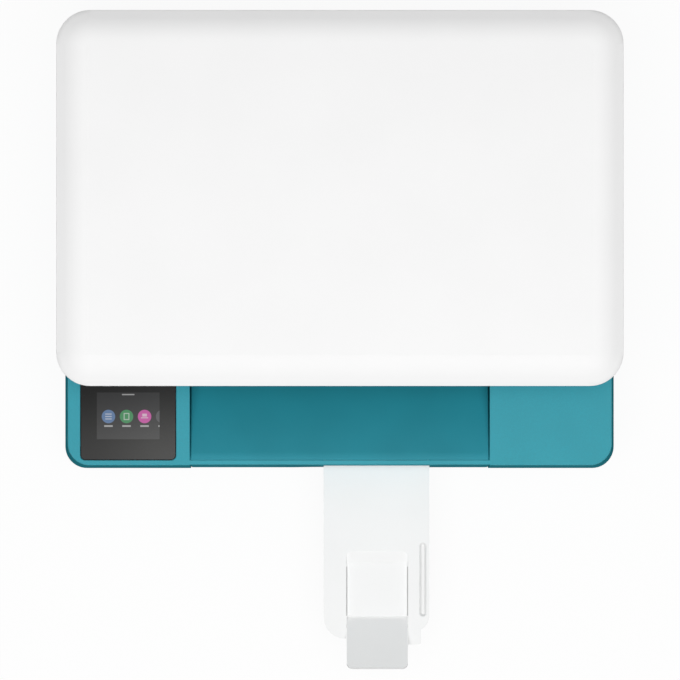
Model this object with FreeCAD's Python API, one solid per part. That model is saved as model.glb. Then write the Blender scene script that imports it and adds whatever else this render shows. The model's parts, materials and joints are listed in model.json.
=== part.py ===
import FreeCAD, Part
import math
import os

# All-in-one inkjet printer with a flatbed scanner, a paper drawer and a pull-out output extender.
# Millimetres, +Z up, the front faces -Y. The origin is on the ground, under the middle of the whole
# footprint, with the extender pulled out and its paper stop tilted up.

# Fits and shared small sizes
PRESS_FIT = 0.02
RUNNING_FIT = 0.08
SNUG_GAP = 0.2
SLIDE_GAP = 0.3
LOOSE_GAP = 0.4
OVERCUT = 1.0
END_FLAT = 0.01
TOLERANCE = 1e-4
# How far the middle of a corner's arc stands off each side, as a share of the radius
ARC_MIDDLE = 1.0 - math.sqrt(0.5)

# Lid
LID_HALF_WIDTH = 217.5
LID_FRONT = -34.0
LID_BACK = 254.3
LID_TOP = 165.0
LID_BOTTOM = 146.6
LID_CORNER = 26.0
LID_SLOPE = 31.0
LID_SLOPE_RUN = 7.0
LID_FLAT = 2.0
LID_WALL = 2.4
LID_PLATE_BOTTOM = 149.0
LID_PLATE_THICK = 2.0
LID_PLATE_GAP = 0.05
PAD_BOTTOM = 145.6
PAD_INSET = 1.5
PAD_CORNER = 3.0

# Case: the teal body under the scanner. Its half width and its front are given at the deck's height, and its
# sides and front lean out below that, as moulded walls do
WALL = 2.5
BODY_HALF = 210.9
BODY_FRONT = -95.8
BODY_BACK = 244.5
BODY_CORNER = 17.0
SIDE_DRAFT = 3.0
FRONT_DRAFT = 2.4
SEAM_Y = -26.0
CASE_FOOT = 5.0
CASE_TOP = 118.0
DECK_Z = 84.0
DECK_EDGE = 0.8
LEDGE_Z = 112.0
LEDGE_WIDTH = 3.0
CHEEK_EDGE = 2.3

# Dark cover round the ink bay, and the side walls of the paper mouth
COVER_Z = 114.5
COVER_TOP = 117.0
BAY_LEFT = -180.0
BAY_RIGHT = 202.6
BAY_FRONT = 54.0
BAY_BACK = 180.0
BAY_CORNER = 6.0
MOUTH_WALL = 2.0
MOUTH_BACK = 46.0
MOUTH_FOOT = 50.0

# Output well between the two front blocks
WELL_HALF = 116.4
WELL_GAP = 1.2
RIM_FRONT = -95.3
RIM_BACK = -92.0
RIM_FOOT = 48.0
RIM_EDGE = 0.8
RIM_THICK_Z = 79.0
FLOOR_ROLL = 3.0
SLOPE_TOP_Y = RIM_BACK + SNUG_GAP + FLOOR_ROLL
SLOPE_TOP_Z = 83.8
SLOPE_END_Y = -34.0
SLOPE_END_Z = 63.0
TRAY_BACK_Y = 50.0
TRAY_BACK_Z = 61.0
TRAY_THICK = 2.5
TRAY_LUG_FRONT = 0.0
TRAY_LUG_BACK = 20.0
TRAY_LUG_BOTTOM = 59.6
TRAY_LUG_TOP = 61.4
EXT_RAIL_BOTTOM = 47.6
EXT_RAIL_BACK = 42.0
EXT_SIDE_GAP = 0.5
EXT_LEDGE = 4.0
SLOT_MARGIN = 2.0
SLOT_HEADROOM = 1.5

# Control panel on the left block
LENS_LEFT = -201.0
LENS_RIGHT = -127.0
LENS_FRONT = -91.8
LENS_BACK = -29.2
LENS_CORNER = 4.0
LENS_SEAT = 1.6
LENS_PROUD = 0.2
LENS_GAP = 0.4
DISPLAY_X = -164.2
DISPLAY_Y = -58.0
DISPLAY_WIDTH = 54.0
DISPLAY_DEPTH = 42.0
DISPLAY_THICK = 4.0
DISPLAY_GAP = 0.5

# Base
PAN_BOTTOM = 4.0
PAN_TOP = 7.0
PAN_INSET = 1.0
PAN_RAIL_TOP = 20.0
PAN_RAIL_THICK = 2.2
FOOT_RADIUS = 8.0
FOOT_EDGE = 1.2
FOOT_SPOTS = [(-188.0, -74.0), (188.0, -74.0), (-188.0, 220.0), (188.0, 220.0)]

# Extender and its paper stop flap
EXT_LEFT = -12.5
EXT_RIGHT = 69.8
EXT_REAR = -60.0
EXT_FRONT_LEFT = -231.2
EXT_FRONT_RIGHT = -235.8
EXT_BOTTOM = 50.2
EXT_TOP = 55.2
EXT_CORNER = 17.0
EXT_TAB_RIGHT = 63.4
EXT_TAB_TIP = 1.8
EXT_SHOULDER_Y = -214.8
EXT_SHOULDER_BULGE = (2.2, 5.4)
EXT_SHOULDER_RUN = 9.4
POCKET_LEFT = 5.1
POCKET_RIGHT = 53.3
POCKET_REAR = -163.2
POCKET_RAMP = 12.0
POCKET_FLOOR = 51.9
POCKET_CORNER = 5.0
POCKET_LIP = 0.4
POCKET_RELIEF = 0.8
POCKET_RELIEF_DEPTH = 1.0
NOTCH_REAR = -213.6
GROOVE_X = 64.8
GROOVE_WIDTH = 5.6
GROOVE_FLOOR_WIDTH = 2.0
GROOVE_REAR = -156.3
GROOVE_FRONT = -214.0
GROOVE_DEPTH = 2.0
FLAP_AXIS_Y = -221.4
FLAP_AXIS_Z = 53.2
FLAP_LENGTH = 37.35
FLAP_TAIL = 8.0
FLAP_THICK = 2.2
FLAP_TILT = 30.0
FLAP_SIDE_GAP = 0.4
FLAP_CORNER = 4.5
FLAP_TAIL_CORNER = 1.0
FLAP_PIN_RADIUS = 1.3
FLAP_PIN_LENGTH = 3.5

# Paper drawer
DRAWER_BOTTOM = 8.0
DRAWER_HALF = 114.8
DRAWER_BACK = 218.0
DRAWER_WALL_TOP = 40.0
DRAWER_FLOOR = 10.5
DRAWER_REAR_WALL_TOP = 16.0
DRAWER_FRONT_TOP = 46.5
DRAWER_FRONT_DEPTH = 9.9
DRAWER_FACE = 3.0
DRAWER_SIDE_GAP = 0.8
SKID_X = 106.0
SKID_HALF = 2.0
PULL_ARCH_RADIUS = 70.0
PULL_ARCH_HEIGHT = 10.0
PULL_HALF = 40.0
PULL_TOP = 28.0
PULL_WALL = 2.0
PICK_NOTCH_HALF = 26.0
GUIDE_X = 108.0
GUIDE_Y = 96.0
GUIDE_LENGTH = 88.0
GUIDE_TOP = 36.0
RACK_BOTTOM = 10.8
RACK_TOP = 13.2
RACK_BODY = 4.5
RACK_OVERRUN = 22.0
PINION_TEETH = 16
PINION_MODULE = 1.0
PINION_POST = 2.0
FENCE_THICK = 2.0
FENCE_CORNER = 6.0
FENCE_LIFT = 0.4
STOP_HALF = 24.0
STOP_FOOT_HALF = 16.0
STOP_FOOT_LENGTH = 24.0
STOP_RIB_X = 12.0
STOP_RIB_LENGTH = 7.0
STOP_RIB_HALF = 0.8
STOP_RIB_TOP = 18.0
STOP_GAP = 0.5

# Paper path: axes as (y, z)
FEED_AXIS = (118.0, 68.0)
EXIT_AXIS = (58.0, 69.5)
PINCH_AXIS = (121.0, 80.4)
STAR_AXIS = (58.0, 81.9)
PICK_PIVOT = (100.0, 52.0)
PICK_AXIS = (152.0, 24.5)
FEED_RADIUS = 8.0
FEED_SHAFT_RADIUS = 4.0
EXIT_RADIUS = 6.0
EXIT_SHAFT_RADIUS = 3.0
PINCH_RADIUS = 4.0
STAR_RADIUS = 5.9
PICK_RADIUS = 11.0
PICK_SHAFT_RADIUS = 3.0
PICK_ARM_HALF = 7.0
PICK_HUB_HALF = 12.0
PICK_HUB_RADIUS = 6.0
PICK_END_RADIUS = 4.4
PICK_ARM_NEAR = 5.0
PICK_ARM_FAR = 3.6
PICK_AXLE_HALF = 18.0
PICK_AXLE_RADIUS = 2.0
PICK_TYRE_INNER = 7.5
PICK_TYRE_WIDTH = 10.0
AXLE_RADIUS = 1.2
SLEEVE_START = -112.0
SLEEVE_PITCH = 60.0
SLEEVE_LENGTH = 44.0
SLEEVE_COUNT = 4
TYRE_HALF = 7.0
PINCH_PLACES = [-90.0, -30.0, 30.0, 90.0]
PINCH_HALF = 15.0
PINCH_AXLE_HALF = 18.5
STAR_PLACES = [-100.0, -60.0, -20.0, 20.0, 60.0, 100.0]
STAR_POINTS = 12
STAR_NOTCH = 1.6
STAR_THICK = 1.2
STAR_AXLE_HALF = 110.0
PLATE_INNER_X = 119.0
PLATE_THICK = 2.0
PLATE_OUTLINE = [(44, 7), (142, 7), (142, 88), (127, 88), (116, 77), (68, 77), (63, 88), (46, 88)]
PLATE_HOLE = (92.0, 28.0)
PLATE_HOLE_RADIUS = 13.0
GEAR_PLATE_OUTLINE = [(38, 7), (146, 7), (146, 84), (42, 84)]
GEAR_PLATE_X = -181.0
SHAFT_LEFT = -192.0
SHAFT_RIGHT = 124.0
TURN_CENTRE = (199.0, 46.0)
TURN_RADIUS = 34.0
TURN_HALF = 112.0
TURN_WALL = 3.0
TURN_LEAD_FRONT = 142.5
TURN_LEAD_THICK = 2.0
TURN_LEG_WIDTH = 4.0
TURN_LEG_FRONT = 25.0
TURN_LEG_DROP = 15.0
# Bars over the paper as (front, back, bottom, top), with the arms that hold the small rollers
PINCH_BAR = (127.5, 139.0, 79.5, 87.5)
PINCH_ARM = (118.5, 128.0, 78.4, 83.0)
PINCH_ARM_INNER = 16.0
STAR_BAR = (47.0, 51.5, 79.0, 87.5)
STAR_ARM = (51.0, 60.0, 79.5, 85.0)
STAR_ARM_PLACES = [-108.0, -80.0, 0.0, 80.0, 108.0]
HOLDER_ARM_THICK = 2.0
PLATEN_FRONT = 67.0
PLATEN_BACK = 108.5
PLATEN_BOTTOM = 66.0
PLATEN_TOP = 72.0
PLATEN_RIB_TOP = 75.4
PLATEN_RIB_HALF = 0.8
PLATEN_RIB_PITCH = 15.0
PLATEN_RIBS = 15

# Gear train on the left ends of the shafts
GEAR_MODULE = 0.8
GEAR_LEFT = -190.0
GEAR_WIDTH = 6.0
FEED_TEETH = 48
EXIT_TEETH = 36
IDLER_TEETH = 40
MOTOR_TEETH = 14
MOTOR_ANGLE = -60.0
MOTOR_RADIUS = 13.0
MOTOR_LENGTH = 30.0
MOTOR_EDGE = 2.0
MOTOR_BOSS = 4.0
MOTOR_BOSS_GAP = 0.5
MOTOR_SHAFT_RADIUS = 1.5
STUD_RADIUS = 2.0
STUD_OVERHANG = 1.0
TOOTH_TIP = 0.9
TOOTH_ROOT = 1.15
TIP_SHARE = 0.22
ROOT_SHARE = 0.62

# Print carriage
CARRIAGE_X = 160.0
CARRIAGE_HALF = 42.0
CARRIAGE_FRONT = 66.0
CARRIAGE_BACK = 158.0
CARRIAGE_BOTTOM = 90.0
CARRIAGE_TOP = 112.0
CARRIAGE_FLOOR = 92.5
CARTRIDGE_X = 20.0
CARTRIDGE_HALF = 17.5
CARTRIDGE_FRONT = 70.6
CARTRIDGE_BACK = 128.0
CARTRIDGE_TOP = 110.0
CARTRIDGE_EDGE = 2.0
CRADLE_GAP = 0.6
CRADLE_BACK = 133.0
NOSE_HALF = 14.4
NOSE_FRONT = 72.5
NOSE_BACK = 105.5
NOSE_BOTTOM = 78.5
THUMB_TAB_HALF = 10.0
THUMB_TAB_FRONT = 74.0
THUMB_TAB_BACK = 84.0
THUMB_TAB_TOP = 113.0
CLIP_HALF = 10.0
CLIP_BACK = 168.0
CLIP_BOTTOM = 96.0
CLIP_TOP = 106.0
CLIP_SLOT_GAP = 0.7
REAR_STEP = 14.0
REAR_STEP_Z = 104.0
STRIP_Y = 138.0
STRIP_THICK = 0.4
STRIP_BOTTOM = 104.0
STRIP_TOP = 110.0
STRIP_SLOT_GAP = 1.3
STRIP_SLOT_DROP = 2.0
ROD_AXIS = (150.0, 96.0)
ROD_RADIUS = 4.5
RAIL_Y = 184.0
RAIL_THICK = 2.0
RAIL_END = 206.0
RAIL_BOTTOM = 84.0
RAIL_TOP = 111.5
RAIL_LIP = 6.0
RAIL_LIP_THICK = 1.5
RAIL_LEG_IN = 188.0
RAIL_SHELF_IN = 182.0
RAIL_SHELF_BOTTOM = 95.0
RAIL_SHELF_TOP = 97.0
RAIL_CHEEK_FRONT = 134.0
RAIL_CHEEK_THICK = 2.5
PULLEY_X = 191.0
PULLEY_Y = 170.0
BELT_BOTTOM = 98.0
BELT_TOP = 104.0
BELT_INNER = 5.0
BELT_THICK = 1.3
PULLEY_SLACK = 0.1
PULLEY_FLANGE = 2.0
PULLEY_FLANGE_THICK = 0.7
SPINDLE_TOP = 105.0
BELT_MOTOR_BOTTOM = 64.0
BELT_MOTOR_RADIUS = 11.0
BELT_MOTOR_HOLE = 4.0

# Service station at the carriage's rest, and its caps
STATION_LEFT = 124.0
STATION_RIGHT = 204.0
STATION_FRONT = 64.0
STATION_BACK = 114.0
STATION_TOP = 70.0
STATION_FLOOR = 52.0
STATION_WALL = 3.0
CAP_HALF = 12.0
CAP_FRONT = 74.0
CAP_BACK = 104.0
CAP_BOTTOM = 74.0
CAP_TOP = 77.8
CAP_WALL = 2.5
CAP_FLOOR = 75.5

# Scanner
BED_HALF = 213.5
BED_FRONT = -29.0
BED_BACK = 248.0
BED_CORNER = 22.0
BED_BOTTOM = 118.5
BED_TOP = 143.0
BED_EDGE = 3.5
FRAME_TOP = 146.0
FRAME_EDGE = 1.0
GLASS_HALF_X = 150.0
GLASS_FRONT = 1.0
GLASS_BACK = 219.0
GLASS_MARGIN = 3.0
GLASS_THICK = 2.2
SCAN_ROD = (110.0, 126.0)
SCAN_ROD_RADIUS = 3.0
SCAN_BOSS_HALF = 6.0
SCAN_BOSS_OUTER = 1.0
SCAN_BOSS_INNER = 9.0
SCAN_HEAD_X = -176.0
SCAN_BAR_HALF = 10.0
SCAN_BAR_OVERRUN = 6.0
SCAN_BAR_BOTTOM = 131.0
SCAN_BAR_TOP = 141.4
SCAN_BAR_EDGE = 1.5
SCAN_SLOT_HALF = 1.2
SCAN_SLOT_DEPTH = 0.8
SLIDER_HALF_X = 13.0
SLIDER_HALF_Y = 7.0
SLIDER_BOTTOM = 121.6

# Hinges: axes as (y, z), and the X places of the two knuckles of each
UNIT_HINGE = (250.0, 113.5)
UNIT_HINGE_X = 150.0
UNIT_BARREL = 4.0
UNIT_PIN = 2.0
UNIT_EAR_GAP = 16.0
UNIT_EAR_WIDTH = 6.0
UNIT_WEB_BACK = 2.0
UNIT_WEB_RISE = 10.0
KNUCKLE_END_GAP = 0.3
LID_HINGE = (251.0, 143.0)
LID_HINGE_X = 130.0
LID_BARREL = 2.8
LID_PIN = 1.2
LID_EAR_GAP = 14.0
LID_EAR_WIDTH = 5.0
LID_WEB_FRONT = 1.9
LID_WEB_BACK = 0.7

# Rear connectors
CONNECTOR_PROUD = 0.3
PIN_SETBACK = 2.0
USB_X = -160.0
USB_Z = 31.6
USB_HALF = 6.0
USB_HEIGHT = 11.0
USB_INNER_Y = 226.0
USB_SOCKET_HALF = 4.4
USB_SOCKET_BOTTOM = 1.4
USB_SOCKET_TOP = 9.6
USB_SOCKET_INNER_Y = 231.0
USB_TONGUE_HALF = 2.8
USB_TONGUE_BOTTOM = 4.0
USB_TONGUE_TOP = 7.0
INLET_X = 160.0
INLET_Z = 36.0
INLET_HALF_WIDTH = 13.0
INLET_HALF_HEIGHT = 9.0
INLET_INNER_Y = 230.0
INLET_WELL_INNER_Y = 234.0
INLET_WELL_RADIUS = 4.6
INLET_WAIST_HALF = 3.4
INLET_PIN_X = 4.4
INLET_PIN_RADIUS = 1.2
BUTTON_X = -110.0
BUTTON_Z = 96.0
BUTTON_RADIUS = 6.0
BUTTON_PROUD = 2.2
BUTTON_EDGE = 0.8
BUTTON_DEPTH = 5.5
BUTTON_COLLAR = 2.0

# Board and power supply on the base pan
BOARD_LEFT = -198.0
BOARD_RIGHT = -124.0
BOARD_FRONT = 188.0
BOARD_BACK = 238.0
BOARD_THICK = 1.6
BOARD_POST_INSET = 4.0
BOARD_POST_RADIUS = 2.5
CHIP_LEFT = -190.0
CHIP_FRONT = 200.0
CHIP_SIDE = 16.0
CHIP_PITCH = 22.0
CHIP_HEIGHT = 2.0
CHIPS = 3
SUPPLY_LEFT = 126.0
SUPPLY_RIGHT = 204.0
SUPPLY_FRONT = 188.0
SUPPLY_BACK = 230.0
SUPPLY_TOP = 60.0
VENT_LEFT = 132.0
VENT_PITCH = 11.0
VENT_WIDTH = 4.0
VENT_INSET = 8.0
VENT_DEPTH = 3.0
VENTS = 6


def point(x, y, z):
    return FreeCAD.Vector(x, y, z)


def block(x0, x1, y0, y1, z0, z1):
    """A box between two corners."""
    return Part.makeBox(x1 - x0, y1 - y0, z1 - z0, point(x0, y0, z0))


def plan_wire(x0, x1, y0, y1, z, radii):
    """A flat outline with its own radius at each corner: front left, front right, back right, back left."""
    corners = [(x0, y0, 1, 1), (x1, y0, -1, 1), (x1, y1, -1, -1), (x0, y1, 1, -1)]
    ends = []
    edges = []
    for index, (x, y, dx, dy) in enumerate(corners):
        r = radii[index]
        along_x = point(x + dx * r, y, z)
        along_y = point(x, y + dy * r, z)
        first, last = (along_y, along_x) if index % 2 == 0 else (along_x, along_y)
        ends.append((first, last))
        if r > 0:
            bulge = point(x + dx * r * ARC_MIDDLE, y + dy * r * ARC_MIDDLE, z)
            edges.append(Part.Arc(first, bulge, last).toShape())
    for index in range(4):
        start = ends[index][1]
        stop = ends[(index + 1) % 4][0]
        if start.distanceToPoint(stop) > TOLERANCE:
            edges.append(Part.makeLine(start, stop))
    return Part.Wire(Part.__sortEdges__(edges))


def plan_block(x0, x1, y0, y1, z0, z1, radii):
    """An upright block on a flat outline with rounded corners."""
    return Part.Face(plan_wire(x0, x1, y0, y1, z0, radii)).extrude(point(0, 0, z1 - z0))


def side_extrusion(points, x0, x1):
    """A (y, z) outline pulled along X."""
    outline = [point(x0, y, z) for y, z in points]
    face = Part.Face(Part.makePolygon(outline + outline[:1]))
    return face.extrude(point(x1 - x0, 0, 0))


def rod_x(x0, x1, axis, radius):
    return Part.makeCylinder(radius, x1 - x0, point(x0, axis[0], axis[1]), point(1, 0, 0))


def rod_y(x, y0, y1, z, radius):
    return Part.makeCylinder(radius, y1 - y0, point(x, y0, z), point(0, 1, 0))


def rod_z(x, y, z0, z1, radius):
    return Part.makeCylinder(radius, z1 - z0, point(x, y, z0))


def joined(shapes):
    """Several solids fused into one, without the seams between them."""
    return shapes[0].multiFuse(shapes[1:]).removeSplitter()


def without(shape, tools):
    return shape.cut(Part.makeCompound(tools))


def mirrored(shape):
    return shape.mirror(point(0, 0, 0), point(1, 0, 0))


def softened(shape, radius, wanted):
    """Rounds the edges whose bounding box passes the test."""
    edges = [edge for edge in shape.Edges if wanted(edge.BoundBox)]
    return shape.makeFillet(radius, edges)


def bevelled(shape, size, wanted):
    """Cuts the edges whose bounding box passes the test at 45 degrees."""
    edges = [edge for edge in shape.Edges if wanted(edge.BoundBox)]
    return shape.makeChamfer(size, edges)


def flat_at(box, z):
    return abs(box.ZMin - z) < TOLERANCE and abs(box.ZMax - z) < TOLERANCE


def gear_disc(teeth, module, width, bore, phase):
    """A spur gear round the Z axis, with straight flanks thin enough to leave backlash."""
    pitch_radius = teeth * module / 2
    tip = pitch_radius + TOOTH_TIP * module
    root = pitch_radius - TOOTH_ROOT * module
    half = math.pi / teeth
    flank = [(root, -ROOT_SHARE), (tip, -TIP_SHARE), (tip, TIP_SHARE), (root, ROOT_SHARE)]
    outline = []
    for tooth in range(teeth):
        centre = phase + tooth * 2 * half
        for radius, share in flank:
            angle = centre + share * half
            outline.append(point(radius * math.cos(angle), radius * math.sin(angle), 0))
    face = Part.Face(Part.makePolygon(outline + outline[:1]))
    disc = face.extrude(point(0, 0, width))
    return disc.cut(Part.makeCylinder(bore, width))


def turned_to_x(shape, x, axis):
    """Lays a shape made round Z along X: its X becomes Y, its Y becomes Z."""
    turned = shape.copy()
    lie_down = FreeCAD.Rotation(point(1, 1, 1), 120)
    turned.Placement = FreeCAD.Placement(point(x, axis[0], axis[1]), lie_down)
    return turned


def pitch_radius_of(teeth):
    return teeth * GEAR_MODULE / 2


def mesh_phase(phase, teeth, other_teeth, direction):
    """Phase of a gear whose tooth gap meets the first gear's teeth in the given direction."""
    pitch = 2 * math.pi / teeth
    other_pitch = 2 * math.pi / other_teeth
    share = ((direction - phase) % pitch) / pitch
    return direction + math.pi + (share - 0.5) * other_pitch


def idler_axis():
    """The idler touches the feed and the exit gear, and hangs below the line between them."""
    reach_feed = pitch_radius_of(FEED_TEETH) + pitch_radius_of(IDLER_TEETH)
    reach_exit = pitch_radius_of(EXIT_TEETH) + pitch_radius_of(IDLER_TEETH)
    dy = EXIT_AXIS[0] - FEED_AXIS[0]
    dz = EXIT_AXIS[1] - FEED_AXIS[1]
    span = math.hypot(dy, dz)
    along = (reach_feed ** 2 - reach_exit ** 2 + span ** 2) / (2 * span)
    drop = math.sqrt(reach_feed ** 2 - along ** 2)
    y = FEED_AXIS[0] + (along * dy - drop * dz) / span
    z = FEED_AXIS[1] + (along * dz + drop * dy) / span
    return (y, z)


def motor_axis():
    reach = pitch_radius_of(FEED_TEETH) + pitch_radius_of(MOTOR_TEETH)
    angle = math.radians(MOTOR_ANGLE)
    return (FEED_AXIS[0] + reach * math.cos(angle), FEED_AXIS[1] + reach * math.sin(angle))


def bearing(axis, other_axis):
    """Direction from one axis to another, in the plane of the gears."""
    return math.atan2(other_axis[1] - axis[1], other_axis[0] - axis[0])


def side_pair(side, near, far):
    """Two X values on one side of the middle, low one first."""
    return sorted((side * near, side * far))


# Case


def flare(draft, z):
    """How far a leaning wall stands out at a height, beyond its place at the deck."""
    return (DECK_Z - z) * math.tan(math.radians(draft))


def case_half(z):
    return BODY_HALF + flare(SIDE_DRAFT, z)


def case_front(z):
    return BODY_FRONT - flare(FRONT_DRAFT, z)


def rim_front(z):
    """The front face of the rim, and of the drawer below it."""
    return RIM_FRONT - flare(FRONT_DRAFT, z)


def fascia_tier(inset, z0, z1):
    """The left front block between two heights, or its hollow at a wall's depth."""
    outlines = []
    for z in (z0, z1):
        outlines.append(plan_wire(-case_half(z) + inset, -WELL_HALF - inset, case_front(z) + inset, SEAM_Y, z,
                                  (BODY_CORNER - inset, 0, 0, 0)))
    return Part.makeLoft(outlines, True, True)


def fascia_block():
    """One front block as a hollow moulding, open at the back and below: the left one."""

    def outer_top(box):
        return flat_at(box, DECK_Z) and box.XMin < -WELL_HALF - WALL and box.YMin < SEAM_Y - WALL

    outer = softened(fascia_tier(0, CASE_FOOT, DECK_Z), DECK_EDGE, outer_top)
    return outer.cut(fascia_tier(WALL, CASE_FOOT, DECK_Z - WALL))


def fascia_rim():
    """The bar across the front of the output well, thick at the top, with the wall below it."""
    bend_z = RIM_THICK_Z - 2 * WALL
    outline = [(rim_front(RIM_FOOT), RIM_FOOT), (RIM_FRONT, DECK_Z), (RIM_BACK, DECK_Z), (RIM_BACK, RIM_THICK_Z),
               (rim_front(bend_z) + WALL, bend_z), (rim_front(RIM_FOOT) + WALL, RIM_FOOT)]
    bar = side_extrusion(outline, -WELL_HALF, WELL_HALF)
    return softened(bar, RIM_EDGE, lambda box: flat_at(box, DECK_Z) and box.YMax < RIM_FRONT + TOLERANCE)


def front_fascia():
    """The front moulding: both blocks, the rim between them, the lens seat and the extender's slot."""
    left = fascia_block()
    fascia = joined([left, mirrored(left), fascia_rim()])
    corner = BODY_CORNER - WALL
    pan_room = PAN_TOP + SNUG_GAP
    inside_half = case_half(pan_room) - WALL
    inside_foot = plan_block(-inside_half, inside_half, case_front(pan_room) + WALL, SEAM_Y, CASE_FOOT, pan_room,
                             (corner, corner, 0, 0))
    lens_seat = plan_block(LENS_LEFT - LENS_GAP, LENS_RIGHT + LENS_GAP, LENS_FRONT - LENS_GAP,
                           LENS_BACK + LENS_GAP, DECK_Z - LENS_SEAT, DECK_Z, (LENS_CORNER,) * 4)
    half_width = DISPLAY_WIDTH / 2 + DISPLAY_GAP
    half_depth = DISPLAY_DEPTH / 2 + DISPLAY_GAP
    window = block(DISPLAY_X - half_width, DISPLAY_X + half_width, DISPLAY_Y - half_depth,
                   DISPLAY_Y + half_depth, DECK_Z - 2 * WALL, DECK_Z)
    extender_slot = block(EXT_LEFT - SLOT_MARGIN, EXT_RIGHT + SLOT_MARGIN, rim_front(RIM_FOOT) - OVERCUT,
                          RIM_BACK, RIM_FOOT - OVERCUT, EXT_TOP + SLOT_HEADROOM)
    return without(fascia, [inside_foot, lens_seat, window, extender_slot])


def case_tier(inset, z0, z1):
    """The main case between two heights, or a hollow in it at an inset, open towards the fascia."""
    corner = BODY_CORNER - inset
    outlines = []
    for z in (z0, z1):
        half = case_half(z) - inset
        outlines.append(plan_wire(-half, half, SEAM_Y, BODY_BACK - inset, z, (0, 0, corner, corner)))
    return Part.makeLoft(outlines, True, True)


def case_cheek():
    """The wall that closes the case over one front block: the left one."""
    front = SEAM_Y - WALL
    corners = [(-case_half(DECK_Z), DECK_Z), (-WELL_HALF, DECK_Z), (-WELL_HALF, CASE_TOP),
               (-case_half(CASE_TOP), CASE_TOP)]
    outline = [point(x, front, z) for x, z in corners]
    cheek = Part.Face(Part.makePolygon(outline + outline[:1])).extrude(point(0, WALL, 0))

    def outer_corner(box):
        return box.ZLength > WALL and box.XMax < -WELL_HALF - WALL and box.YMax < front + TOLERANCE

    return softened(cheek, CHEEK_EDGE, outer_corner)


def hinge_ears(axis, x, radius, gap, width, root_y):
    """Two round-ended ears on a wall at root_y, either side of a knuckle."""
    ears = []
    for x0 in (x - gap / 2 - width, x + gap / 2):
        ears.append(rod_x(x0, x0 + width, axis, radius))
        ears.append(block(x0, x0 + width, root_y, axis[0], axis[1] - radius, axis[1] + radius))
    return ears


def main_case():
    """The body shell, with a ledge for the inner cover, ears for the scanner and holes in its rear wall."""
    hollows = [case_tier(WALL, CASE_FOOT, LEDGE_Z), case_tier(WALL + LEDGE_WIDTH, LEDGE_Z, COVER_Z),
               case_tier(WALL, COVER_Z, CASE_TOP)]
    shell = without(case_tier(0, CASE_FOOT, CASE_TOP), hollows)
    left_cheek = case_cheek()
    pieces = [shell, left_cheek, mirrored(left_cheek)]
    for x in (-UNIT_HINGE_X, UNIT_HINGE_X):
        pieces += hinge_ears(UNIT_HINGE, x, UNIT_BARREL, UNIT_EAR_GAP, UNIT_EAR_WIDTH, BODY_BACK)
    inside = BODY_BACK - 2 * WALL
    outside = BODY_BACK + OVERCUT
    usb_half = USB_HALF + LOOSE_GAP
    holes = [block(USB_X - usb_half, USB_X + usb_half, inside, outside, USB_Z - LOOSE_GAP,
                   USB_Z + USB_HEIGHT + LOOSE_GAP)]
    inlet_half = INLET_HALF_WIDTH + SLIDE_GAP
    inlet_rise = INLET_HALF_HEIGHT + SLIDE_GAP
    holes.append(block(INLET_X - inlet_half, INLET_X + inlet_half, inside, outside, INLET_Z - inlet_rise,
                       INLET_Z + inlet_rise))
    holes.append(rod_y(BUTTON_X, inside, outside, BUTTON_Z, BUTTON_RADIUS + LOOSE_GAP))
    reach = UNIT_EAR_GAP / 2 + UNIT_EAR_WIDTH + OVERCUT
    for x in (-UNIT_HINGE_X, UNIT_HINGE_X):
        holes.append(rod_x(x - reach, x + reach, UNIT_HINGE, UNIT_PIN + PRESS_FIT))
    return without(joined(pieces), holes)


def base_pan():
    """The floor of the case, with two rails that guide the drawer."""
    flange_half = case_half(CASE_FOOT) - PAN_INSET
    flange = plan_block(-flange_half, flange_half, case_front(CASE_FOOT) + PAN_INSET, BODY_BACK - PAN_INSET,
                        PAN_BOTTOM, CASE_FOOT, (BODY_CORNER - PAN_INSET,) * 4)
    inset = WALL + SLIDE_GAP
    floor_half = case_half(PAN_TOP) - inset
    floor = plan_block(-floor_half, floor_half, case_front(PAN_TOP) + inset, BODY_BACK - inset, CASE_FOOT,
                       PAN_TOP, (BODY_CORNER - inset,) * 4)
    rails = []
    for side in (-1, 1):
        inner = WELL_HALF + SNUG_GAP
        x0, x1 = side_pair(side, inner, inner + PAN_RAIL_THICK)
        rails.append(block(x0, x1, SEAM_Y + OVERCUT, DRAWER_BACK, PAN_TOP, PAN_RAIL_TOP))
    return joined([flange, floor] + rails)


def rubber_feet():
    feet = []
    for x, y in FOOT_SPOTS:
        foot = rod_z(x, y, 0, PAN_BOTTOM, FOOT_RADIUS)
        feet.append(bevelled(foot, FOOT_EDGE, lambda box: flat_at(box, 0)))
    return Part.makeCompound(feet)


def inner_cover():
    """The dark cover round the ink bay, with the two side walls of the paper mouth."""
    inset = WALL + SNUG_GAP
    half = case_half(COVER_TOP) - inset
    corner = BODY_CORNER - inset
    plate = plan_block(-half, half, SEAM_Y + SNUG_GAP, BODY_BACK - inset, COVER_Z, COVER_TOP,
                       (0, 0, corner, corner))
    window = plan_block(BAY_LEFT, BAY_RIGHT, BAY_FRONT, BAY_BACK, COVER_Z, COVER_TOP, (BAY_CORNER,) * 4)
    walls = []
    for side in (-1, 1):
        x0, x1 = side_pair(side, WELL_HALF, WELL_HALF + MOUTH_WALL)
        walls.append(block(x0, x1, SEAM_Y + SNUG_GAP, MOUTH_BACK, MOUTH_FOOT, COVER_Z))
    return joined([plate.cut(window)] + walls)


def slope_z(y):
    """Height of the output floor at a depth y."""
    if y < SLOPE_END_Y:
        share = max(0.0, (y - SLOPE_TOP_Y) / (SLOPE_END_Y - SLOPE_TOP_Y))
        return SLOPE_TOP_Z + share * (SLOPE_END_Z - SLOPE_TOP_Z)
    share = (y - SLOPE_END_Y) / (TRAY_BACK_Y - SLOPE_END_Y)
    return SLOPE_END_Z + share * (TRAY_BACK_Z - SLOPE_END_Z)


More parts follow.
